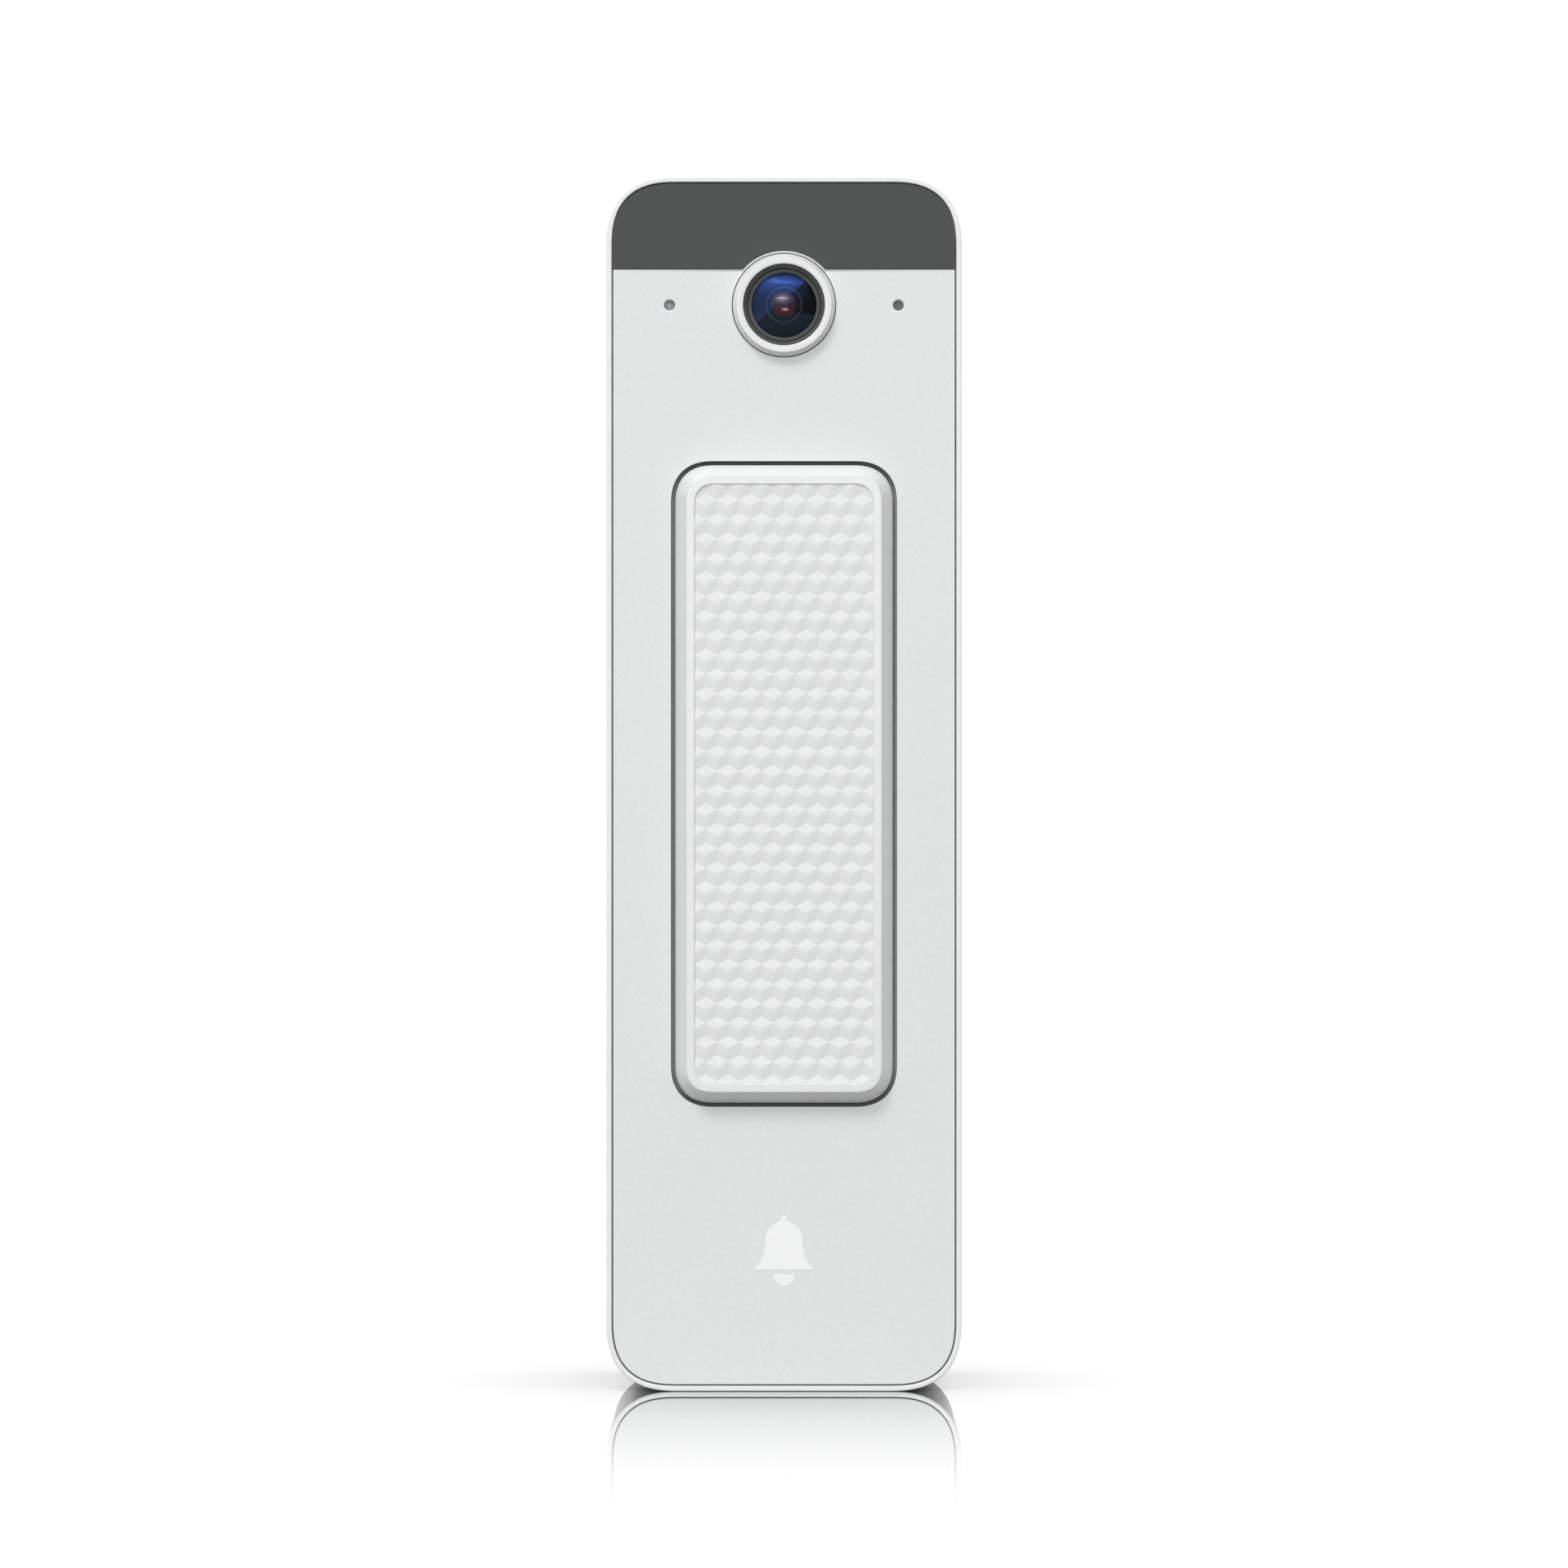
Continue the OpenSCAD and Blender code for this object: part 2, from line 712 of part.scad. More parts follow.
// Slide with a day window and a night window side by side
module filter_carriage() {
    right_x = carriage_w - filter_travel - 2.2;
    window_hw = 1.9;
    color([0.25, 0.25, 0.25]) difference() {
        block([right_x - carriage_w, right_x], [camera_z - carriage_hh, camera_z + carriage_hh],
              [carriage_d, carriage_d + carriage_t]);
        for (x = [0, -filter_travel]) {
            block([x - window_hw, x + window_hw], [camera_z - window_hw, camera_z + window_hw],
                  [carriage_d - past, carriage_d + carriage_t + past]);
            filter_space(x, [filter_seat_d, carriage_d + carriage_t + past]);
        }
    }
}

// Square recess or glass of the filter carriage
module filter_space(x, d) {
    block([x - filter_hw, x + filter_hw], [camera_z - filter_hw, camera_z + filter_hw], d);
}

// The infrared cut glass and the clear glass
module filter_glasses() {
    color([0.5, 0.8, 0.75, 0.6]) for (x = [0, -filter_travel])
        filter_space(x, [filter_seat_d, carriage_d + carriage_t]);
}

// Coil and core that drive the carriage
module filter_motor() {
    coil_hw = 2.4;
    coil_z = [camera_z + 4.2, camera_z + 7];
    coil_d = [sensor_board_front_d + 0.6, holder_d - 1];
    end_t = 1.2;
    color("saddlebrown") {
        block([-coil_hw, coil_hw], coil_z, coil_d);
        for (x = [-coil_hw - end_t, coil_hw]) block([x, x + end_t],
            [coil_z[0] - 0.1, coil_z[1] + 0.1], [coil_d[0] - 0.2, coil_d[1] + 0.1]);
    }
}

// Image sensor package with its cover glass
module image_sensor() {
    // Half width, half height and end depths of the package and of the glass
    layers = [[3.8, 2.9, 0, 0.8], [3.2, 2.4, 0.8, 1.2]];
    color([0.3, 0.35, 0.3]) for (layer = layers)
        block([-layer[0], layer[0]], [camera_z - layer[1], camera_z + layer[1]],
              [sensor_board_front_d + layer[2], sensor_board_front_d + layer[3]]);
}

// Small board behind the camera, with an ear on each side
module sensor_board() {
    half = 9;
    ear_hw = 13.1;
    ear_hh = 3.6;
    color("darkgreen") slab(sensor_board_d, sensor_board_front_d) difference() {
        union() {
            translate([0, camera_z]) square(2 * half, center = true);
            translate([0, camera_z]) square([2 * ear_hw, 2 * ear_hh], center = true);
        }
        for (spot = camera_spots) translate(spot) circle(r = board_hole_r);
    }
}

// Flat cable from the camera's board to the main board
module camera_ribbon() {
    strip_t = 0.2;
    x = [-8.5, -1.5];
    edge_z = camera_z - 9;
    bend_z = 43;
    low_d = sensor_board_d + 0.4;
    color("orange") {
        block(x, [bend_z, edge_z], [low_d, low_d + strip_t]);
        block(x, [bend_z, bend_z + strip_t], [low_d, main_board_front_d + strip_t]);
        block(x, [38.6, bend_z + strip_t], [main_board_front_d, main_board_front_d + strip_t]);
    }
}

// Rubber sleeve that keeps infrared light out of the lens
module light_baffle() {
    radii = [6.4, 7.4];
    top_d = front_d - 2.8;
    color([0.1, 0.1, 0.1]) turned([0, camera_z], [
        [radii[0], upper_board_front_d], [radii[1], upper_board_front_d],
        [radii[1], top_d], [radii[0], top_d]
    ]);
}

// ---- Lamps, light sensor and microphone ----

// Board round the camera that carries the lamps, the sensor and the microphone
module upper_board() {
    low_z = 50;
    camera_hole_r = 6.6;
    color("darkgreen") slab(upper_board_d, upper_board_front_d) difference() {
        intersection() {
            body_outline(wall_t + 1);
            above(low_z);
        }
        translate([0, camera_z]) circle(r = camera_hole_r);
        for (spot = upper_spots) translate(spot) circle(r = board_hole_r);
    }
}

// Four infrared lamps behind the window
module infrared_leds() {
    half = 1.4;
    base_d = upper_board_front_d + 0.8;
    dome_r = 1.2;
    dome_h = 0.9;
    color("lightsteelblue") for (spot = infrared_spots) {
        block([spot[0] - half, spot[0] + half], [spot[1] - half, spot[1] + half],
              [upper_board_front_d, base_d]);
        turned(spot, concat([[0, base_d], [dome_r, base_d]],
                            reversed(cap_points(dome_r, dome_h, base_d + dome_h))));
    }
}

// Light sensor on the upper board
module light_sensor() {
    half = 1;
    height = 0.7;
    color("gold") block([-small_hole_x - half, -small_hole_x + half],
                        [camera_z - half, camera_z + half],
                        [upper_board_front_d, upper_board_front_d + height]);
}

// Clear rod that leads daylight from the left hole to the sensor
module light_pipe() {
    rod_r = small_hole_r - 0.04;
    low_d = upper_board_front_d + 0.9;
    head_r = 1.6;
    head_d = screw_seat_d + 0.05;
    sag = 0.3;
    color([0.85, 0.9, 0.95, 0.7]) turned([-small_hole_x, camera_z], concat(
        [[0, low_d], [rod_r, low_d], [rod_r, head_d], [head_r, head_d],
         [head_r, chassis_top_d], [rod_r, chassis_top_d]],
        reversed(cap_points(rod_r, sag, front_d - 0.35))
    ));
}

// Microphone on the upper board
module microphone() {
    hw = 1.7;
    hh = 1.3;
    port_r = 0.3;
    color("silver") difference() {
        block([small_hole_x - hw, small_hole_x + hw], [camera_z - hh, camera_z + hh],
              [upper_board_front_d, boot_low_d]);
        bar([small_hole_x, camera_z], port_r, boot_low_d - 0.5, boot_low_d + past);
    }
}

// Rubber boot between the microphone and the chassis
module mic_boot() {
    bore_r = 0.55;
    color([0.1, 0.1, 0.1]) turned([small_hole_x, camera_z], [
        [bore_r, boot_low_d], [boot_r, boot_low_d], [boot_r, boot_top_d], [bore_r, boot_top_d]
    ]);
}

// Water-tight vent disc behind the right hole
module mic_vent() {
    disc_r = 1.5;
    color("gray") bar([small_hole_x, camera_z], disc_r, chassis_top_d, panel_back_d);
}

// ---- Button ----

// White bevelled frame of the button
module button_frame() {
    sliver = 0.01;
    color("white") difference() {
        union() {
            slab(chassis_top_d, frame_bevel_d) outline(button_hw, button_hh, button_reach);
            hull() {
                slab(frame_bevel_d - sliver, frame_bevel_d)
                    outline(button_hw, button_hh, button_reach);
                slab(button_top_d - sliver, button_top_d)
                    outline(rim_hw, rim_hh, button_reach - button_bevel);
            }
        }
        slab(chassis_top_d - past, button_top_d + past)
            outline(texture_hw, texture_hh, texture_reach);
        slab(chassis_top_d - past, frame_step_d)
            outline(texture_hw + frame_lip, texture_hh + frame_lip, texture_reach + frame_lip);
    }
}

// Milky cover of the button, set just below the frame's rim
module button_lens() {
    color([0.95, 0.95, 0.95]) slab(frame_step_d, lens_top_d)
        outline(texture_hw - lens_gap, texture_hh - lens_gap, texture_reach - lens_gap);
}

// Clear plate that spreads the lamps' light under the cover
module light_guide() {
    wider = frame_lip - 0.08;
    color([0.8, 0.9, 0.95, 0.6]) slab(chassis_top_d, frame_step_d)
        outline(texture_hw + wider, texture_hh + wider, texture_reach + wider);
}

// Black base of the button, with its stop flange, lamp windows and guide pegs
module button_carrier() {
    flange = 0.8;
    window = 1.6;
    color([0.15, 0.15, 0.15]) {
        difference() {
            union() {
                slab(carrier_low_d, carrier_flange_d)
                    outline(button_hole_hw + flange, button_hole_hh + flange, button_reach + 1.5);
                slab(carrier_low_d, chassis_top_d) outline(button_hw, button_hh, button_reach);
            }
            for (sx = [-1, 1]) for (z = lamp_zs)
                block([sx * lamp_x - window, sx * lamp_x + window], [z - window, z + window],
                      [carrier_low_d - past, chassis_top_d + past]);
        }
        for (sx = [-1, 1]) for (sz = [-1, 1])
            bar([sx * peg_x, sz * peg_z], peg_r, button_board_d - 0.5, carrier_low_d + 0.2);
    }
}

// Two silicone pads that press the switches
module actuator_pads() {
    color("lightgray") for (end = [-1, 1])
        bar([0, end * switch_z], 2.4, pad_low_d, carrier_low_d);
}

// Two switch stems, pressed together by the button
module switch_stems() {
    color("saddlebrown") for (end = [-1, 1])
        bar([0, end * switch_z], 1.7, pad_low_d - 1.4, pad_low_d);
}

// Two switch bodies on the button's board
module switch_bodies() {
    half = 3.1;
    color([0.2, 0.2, 0.2]) for (end = [-1, 1]) difference() {
        block([-half, half], [end * switch_z - half, end * switch_z + half],
              [button_board_d, switch_top_d]);
        bar([0, end * switch_z], 1.75, pad_low_d - 2.1, switch_top_d + past);
    }
}

// Board under the button, staked to the chassis
module button_board() {
    low_d = button_board_d - button_board_t;
    color("darkgreen") difference() {
        slab(low_d, button_board_d)
            outline(button_hole_hw + 2.4, button_hole_hh + 2.4, button_reach + 3);
        for (sx = [-1, 1]) for (sz = [-1, 1]) {
            bar([sx * peg_x, sz * peg_z], peg_r + 0.08, low_d - past, button_board_d + past);
            bar([sx * stake_x, sz * stake_z], stake_r, low_d - past, button_board_d + past);
        }
    }
}

// Lamps that light the button
module button_leds() {
    half = 0.8;
    color("lightyellow") for (sx = [-1, 1]) for (z = lamp_zs)
        block([sx * lamp_x - half, sx * lamp_x + half], [z - half, z + half],
              [button_board_d, button_board_d + 0.7]);
}

// Flat cables from the button's board and the upper board to the main board
module board_ribbons() {
    strip_t = 0.2;
    board_low_d = button_board_d - button_board_t;
    button_x = [1, 7];
    button_z = 40.7;
    upper_x = [8.5, 13];
    upper_z = 43;
    color("orange") {
        block(button_x, [36, button_z + strip_t], [board_low_d - strip_t, board_low_d]);
        block(button_x, [button_z, button_z + strip_t], [main_board_front_d, board_low_d]);
        block(button_x, [38.6, button_z + strip_t],
              [main_board_front_d, main_board_front_d + strip_t]);
        block(upper_x, [upper_z, 51.5], [upper_board_d - strip_t, upper_board_d]);
        block(upper_x, [upper_z, upper_z + strip_t], [main_board_front_d, upper_board_d]);
        block(upper_x, [38.6, upper_z + strip_t],
              [main_board_front_d, main_board_front_d + strip_t]);
    }
}

// ---- Main board ----

// Main circuit board, cut away round the network jack
module main_board() {
    hw = 18.8;
    z = [-33, 42];
    color("darkgreen") slab(main_board_d, main_board_front_d) difference() {
        translate([-hw, z[0]]) square([2 * hw, z[1] - z[0]]);
        translate([-jack_hw - 0.2, z[0] - past])
            square([2 * jack_hw + 0.4, well_top_z + jack_l + 0.2 - z[0] + past]);
        for (spot = board_spots) translate(spot) circle(r = board_hole_r);
    }
}

// Screws of the main, upper and camera boards
module board_screws() {
    shank_r = post_bore_r - 0.02;
    color("silver") {
        for (spot = board_spots) cap_screw(spot, main_board_front_d, 1.7, 1, shank_r, 4);
        for (spot = upper_spots) cap_screw(spot, upper_board_front_d, 1.7, 1, shank_r, 5);
        for (spot = camera_spots) cap_screw(spot, sensor_board_front_d, 1.6, 1, shank_r, 3);
    }
}

// Place of the processor and its shield on the main board
chip_x = 1.5;
chip_z = 26;
chip_t = 1.2;
shield_half = 12;
shield_h = 3.2;
shield_t = 0.25;

// Processor package
module processor() {
    half = 6.5;
    color([0.15, 0.15, 0.15]) block([chip_x - half, chip_x + half], [chip_z - half, chip_z + half],
                                    [main_board_front_d, main_board_front_d + chip_t]);
}

// Pressed metal can over the processor
module processor_shield() {
    inner = shield_half - shield_t;
    low_d = main_board_front_d;
    color("silver") difference() {
        block([chip_x - shield_half, chip_x + shield_half],
              [chip_z - shield_half, chip_z + shield_half], [low_d, low_d + shield_h]);
        block([chip_x - inner, chip_x + inner], [chip_z - inner, chip_z + inner],
              [low_d - past, low_d + shield_h - shield_t]);
    }
}

// Soft pads that lead heat to the shield and to the floor
module thermal_pads() {
    half = 6;
    color("lightpink") {
        block([chip_x - half, chip_x + half], [chip_z - half, chip_z + half],
              [main_board_front_d + chip_t, main_board_front_d + shield_h - shield_t]);
        block([chip_x - half, chip_x + half], [chip_z - half, chip_z + half],
              [inner_floor_d + 0.8, main_board_d]);
    }
}

// Aluminium plate on the housing's floor
module heat_spreader() {
    color("lightgray") block([-14, 11], [-9, 36], [inner_floor_d, inner_floor_d + 0.8]);
}

// Transformer of the power supply: a core round a wound bobbin
module power_transformer() {
    mid = [-9, 2];
    low_d = main_board_front_d;
    color([0.25, 0.22, 0.2]) {
        for (side = [-1, 1]) block([mid[0] - 6, mid[0] + 6],
            [mid[1] + side * 3.6 - 1.2, mid[1] + side * 3.6 + 1.2], [low_d + 1, low_d + 6.6]);
        block([mid[0] - 4.6, mid[0] + 4.6], [mid[1] - 5.4, mid[1] + 5.4], [low_d, low_d + 1]);
        block([mid[0] - 5, mid[0] + 5], [mid[1] - 2.4, mid[1] + 2.4], [low_d + 1, low_d + 6]);
    }
}

// Two electrolytic capacitors with a crimped edge
module power_capacitors() {
    r = 3.15;
    h = 7;
    low_d = main_board_front_d;
    color([0.2, 0.2, 0.35]) for (z = [-3, 4.5]) turned([10, z], [
        [0, low_d], [r, low_d], [r, low_d + 0.8], [r - 0.35, low_d + 1.1], [r, low_d + 1.4],
        [r, low_d + h - 0.3], [r - 0.3, low_d + h], [0, low_d + h]
    ]);
}

// Metal skin of the network jack, open at its mouth
module jack_shield() {
    z = [well_top_z, well_top_z + jack_l];
    color("silver") difference() {
        block([-jack_hw, jack_hw], z, [jack_low_d, jack_top_d]);
        block([-jack_hw + jack_wall_t, jack_hw - jack_wall_t], [z[0] - past, z[1] - jack_wall_t],
              [jack_low_d + jack_wall_t, jack_top_d - jack_wall_t]);
    }
}

// Plastic body of the network jack with the plug's socket
module jack_insert() {
    hw = jack_hw - jack_wall_t;
    z = [well_top_z, well_top_z + jack_l - jack_wall_t];
    color([0.2, 0.2, 0.2]) difference() {
        block([-hw, hw], z, [jack_low_d + jack_wall_t, jack_top_d - jack_wall_t]);
        block([-plug_hw, plug_hw], [z[0] - past, z[0] + plug_l], [plug_low_d, plug_top_d]);
        block([-2, 2], [z[0] - past, z[0] + plug_l], [plug_low_d - 0.8, plug_low_d + past]);
    }
}

// Eight spring contacts in the socket
module jack_contacts() {
    pitch = 1.02;
    half = 0.2;
    color("gold") for (i = [0:7]) {
        x = (i - 3.5) * pitch;
        block([x - half, x + half], [well_top_z + 3, well_top_z + plug_l],
              [plug_top_d - 0.5, plug_top_d]);
    }
}

// ---- Speaker ----

// Round-cornered outline centred on the speaker, in X and depth
module speaker_outline(hw, hd, reach) {
    translate([0, speaker_d]) polygon(soft_rect(hw, hd, reach, 2));
}

// Moulded frame of the speaker, with a tab for its leads
module speaker_frame() {
    top_z = speaker_low_z + 4;
    color([0.2, 0.2, 0.2]) difference() {
        union() {
            tier(speaker_low_z, top_z) speaker_outline(speaker_hw, speaker_hd, 4);
            block([speaker_hw - 1, lead_xs[1] + 0.8], [top_z - 1, top_z],
                  [lead_d - 0.9, lead_d + 0.9]);
        }
        tier(speaker_low_z - past, top_z - 0.7)
            speaker_outline(speaker_hw - 1.2, speaker_hd - 1.2, 3.2);
        tier(top_z - past, top_z + past) speaker_outline(7.6, 3.7, 1.2);
    }
}

// Diaphragm with its domed middle, which moves in and out
module speaker_cone() {
    low_z = speaker_low_z + 0.5;
    color([0.35, 0.35, 0.38]) {
        tier(low_z, low_z + 0.3) speaker_outline(speaker_hw - 1.35, speaker_hd - 1.35, 3.05);
        tier(low_z + 0.3, low_z + 0.8) speaker_outline(7, 2.8, 2.4);
    }
}

// Magnet and yoke that pass through the frame's back
module speaker_magnet() {
    color("silver") tier(speaker_low_z + 2.2, speaker_low_z + 6.6) speaker_outline(7.5, 3.6, 1.1);
}

// Fine mesh over the sound slots
module speaker_mesh() {
    color("black") tier(inner_low_z, speaker_low_z) speaker_outline(speaker_hw + 0.9, 5.4, 2);
}

// The speaker's two wires and the plug on the main board
module speaker_leads() {
    plug_z = [-32.4, -28.4];
    color("firebrick") {
        for (x = lead_xs) tier(speaker_low_z + 4, plug_z[0]) translate([x, lead_d])
            circle(r = lead_r);
        block([lead_xs[0] - 1, lead_xs[1] + 1], plug_z,
              [main_board_front_d, main_board_front_d + 2.2]);
    }
}

// ---- Reset button ----

// Pin in the floor, reached once the body is off its bracket
module reset_plunger() {
    color("black") turned([reset_x, reset_z], [
        [0, floor_d - 0.4], [reset_r, floor_d - 0.4], [reset_r, inner_floor_d + 0.1],
        [2.1, inner_floor_d + 0.1], [2.1, inner_floor_d + 0.6], [0.8, inner_floor_d + 0.6],
        [0.8, inner_floor_d + 1.2], [0, inner_floor_d + 1.2]
    ]);
}

// Reset switch on the back of the main board
module reset_switch() {
    half = 2;
    color([0.3, 0.3, 0.3]) difference() {
        block([reset_x - half, reset_x + half], [reset_z - half, reset_z + half],
              [inner_floor_d + 1, main_board_d]);
        bar([reset_x, reset_z], 0.9, inner_floor_d, inner_floor_d + 1.8);
    }
}

wall_bracket();
cable_gasket();
security_screw();
rear_housing();
housing_inserts();
panel_gasket();
front_panel();
panel_mark();
ir_window();
inner_chassis();
chassis_screws();
lens_bezel();
lens_barrel();
lens_retainer();
front_lens();
inner_lenses();
aperture_stop();
lens_holder();
filter_carriage();
filter_glasses();
filter_motor();
image_sensor();
sensor_board();
camera_ribbon();
light_baffle();
upper_board();
infrared_leds();
light_sensor();
light_pipe();
microphone();
mic_boot();
mic_vent();
button_frame();
button_lens();
light_guide();
button_carrier();
actuator_pads();
switch_stems();
switch_bodies();
button_board();
button_leds();
board_ribbons();
main_board();
board_screws();
processor();
processor_shield();
thermal_pads();
heat_spreader();
power_transformer();
power_capacitors();
jack_shield();
jack_insert();
jack_contacts();
speaker_frame();
speaker_cone();
speaker_magnet();
speaker_mesh();
speaker_leads();
reset_plunger();
reset_switch();
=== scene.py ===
"""Looks of a slim wired video doorbell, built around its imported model.

Helpers work in the model's own frame in millimetres: X right, Z up, and a depth that is
the distance from the wall towards the visitor, so y = -depth. Meshes are stored in metres.
"""

import json
import math
from collections import namedtuple

import bmesh
import bpy
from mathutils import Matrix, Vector


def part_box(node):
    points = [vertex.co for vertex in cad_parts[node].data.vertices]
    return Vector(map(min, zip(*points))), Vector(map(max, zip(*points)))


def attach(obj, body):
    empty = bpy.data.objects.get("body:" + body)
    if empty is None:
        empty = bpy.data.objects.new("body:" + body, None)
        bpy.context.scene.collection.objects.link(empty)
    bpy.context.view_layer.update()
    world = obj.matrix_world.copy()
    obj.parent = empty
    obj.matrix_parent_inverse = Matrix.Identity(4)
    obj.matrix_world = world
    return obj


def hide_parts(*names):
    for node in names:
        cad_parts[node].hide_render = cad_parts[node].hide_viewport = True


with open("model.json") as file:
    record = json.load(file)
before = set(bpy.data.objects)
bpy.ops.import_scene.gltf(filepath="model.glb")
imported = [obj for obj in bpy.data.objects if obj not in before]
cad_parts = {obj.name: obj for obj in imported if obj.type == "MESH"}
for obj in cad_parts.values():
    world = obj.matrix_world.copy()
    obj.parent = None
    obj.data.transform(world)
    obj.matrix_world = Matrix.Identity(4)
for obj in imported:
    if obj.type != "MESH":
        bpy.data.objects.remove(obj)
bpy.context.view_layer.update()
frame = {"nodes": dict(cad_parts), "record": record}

MM = 0.001
RECORD = frame["record"]


# ---- Driving sizes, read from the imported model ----

Span = namedtuple("Span", "x z d")


def node_span(node):
    """Lowest and highest X, Z and depth of a CAD node, in millimetres."""
    low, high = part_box(node)
    return Span((low.x / MM, high.x / MM), (low.z / MM, high.z / MM),
                (-high.y / MM, -low.y / MM))


def middle_of(pair):
    return (pair[0] + pair[1]) / 2


BODY = node_span("rear_housing")
PANEL = node_span("front_panel")
BUTTON = node_span("button_frame")
BODY_HW, BODY_HH = BODY.x[1], BODY.z[1]
PANEL_BACK_D, FACE_D = PANEL.d
REAR_D, RIM_D = BODY.d
WINDOW_Z = node_span("ir_window").z
BEZEL_D = node_span("lens_bezel").d
CAMERA_Z = middle_of(node_span("lens_bezel").z)
HOLE_X = abs(middle_of(node_span("light_pipe").x))
COVER_BACK_D = node_span("button_lens").d[0]
LOCK_D = middle_of(node_span("security_screw").d)
CORNER_REACH = 8.8
CORNER_POWER = 2.5
PANEL_POWER = 2.6
BUTTON_POWER = 2.4
WALL_T = 1.8
RIM_W = 0.65
COLLAR_R = 6.73
BEZEL_HOLE_R = 6.48
BEZEL_BORE_R = 5.04
LENS_R = 4.0
LENS_SEAT_D = FACE_D - 2
LENS_SHELF_D = LENS_SEAT_D + 1.5


# ---- Outlines, as lists of (x, z) in millimetres, anticlockwise ----

def soft_rect(hw, hh, reach, power, steps=24):
    """Rectangle whose corners are superelliptic curves."""
    points = []
    for quarter in range(4):
        sx = 1 if quarter in (0, 3) else -1
        sz = 1 if quarter < 2 else -1
        for i in range(steps + 1):
            t = math.radians(90 * (i if quarter % 2 == 0 else steps - i) / steps)
            cx = max(math.cos(t), 0) ** (2 / power)
            cz = max(math.sin(t), 0) ** (2 / power)
            points.append((sx * (hw - reach + reach * cx), sz * (hh - reach + reach * cz)))
    return points


def circle(x, z, r, steps=96):
    return [(x + r * math.cos(2 * math.pi * i / steps), z + r * math.sin(2 * math.pi * i / steps))
            for i in range(steps)]


def arc(x, z, r, start, end, steps):
    angles = [start + (end - start) * i / steps for i in range(steps + 1)]
    return [(x + r * math.cos(a), z + r * math.sin(a)) for a in angles]


def stadium(x, z_low, z_high, r, steps=12):
    """Upright slot with round ends."""
    return (arc(x, z_high - r, r, 0, math.pi, steps)
            + arc(x, z_low + r, r, math.pi, 2 * math.pi, steps))


def rect(x, z):
    return [(x[1], z[1]), (x[0], z[1]), (x[0], z[0]), (x[1], z[0])]


def moved(points, x, z):
    return [(px + x, pz + z) for px, pz in points]


def grown(points, amount):
    """The outline moved outwards by an amount, with mitred corners."""
    if amount == 0:
        return list(points)
    result = []
    n = len(points)
    for i in range(n):
        ax, az = points[i - 1]
        bx, bz = points[i]
        cx, cz = points[(i + 1) % n]
        n1 = Vector((bz - az, ax - bx)).normalized()
        n2 = Vector((cz - bz, bx - cx)).normalized()
        mid = (n1 + n2).normalized()
        reach = amount / max(mid.dot(n1), 0.3)
        result.append((bx + mid.x * reach, bz + mid.y * reach))
    return result


def body_outline(inset, power=CORNER_POWER):
    return soft_rect(BODY_HW - inset, BODY_HH - inset, CORNER_REACH - inset, power)


def rounded(path, steps=4):
    """A path of (a, b, radius) with each corner turned into an arc of that radius."""
    points = [Vector(p[:2]) for p in path]
    result = [tuple(points[0])]
    for i in range(1, len(path) - 1):
        here = points[i]
        radius = path[i][2]
        if radius == 0:
            result.append(tuple(here))
            continue
        back = (points[i - 1] - here).normalized()
        on = (points[i + 1] - here).normalized()
        half = back.angle(on) / 2
        tangent = radius / math.tan(half)
        centre = here + (back + on).normalized() * radius / math.sin(half)
        start = here + back * tangent - centre
        end = here + on * tangent - centre
        for j in range(steps + 1):
            share = j / steps
            result.append(tuple(centre + start.slerp(end, share) * radius))
    return result + [tuple(points[-1])]


# ---- Mesh building ----

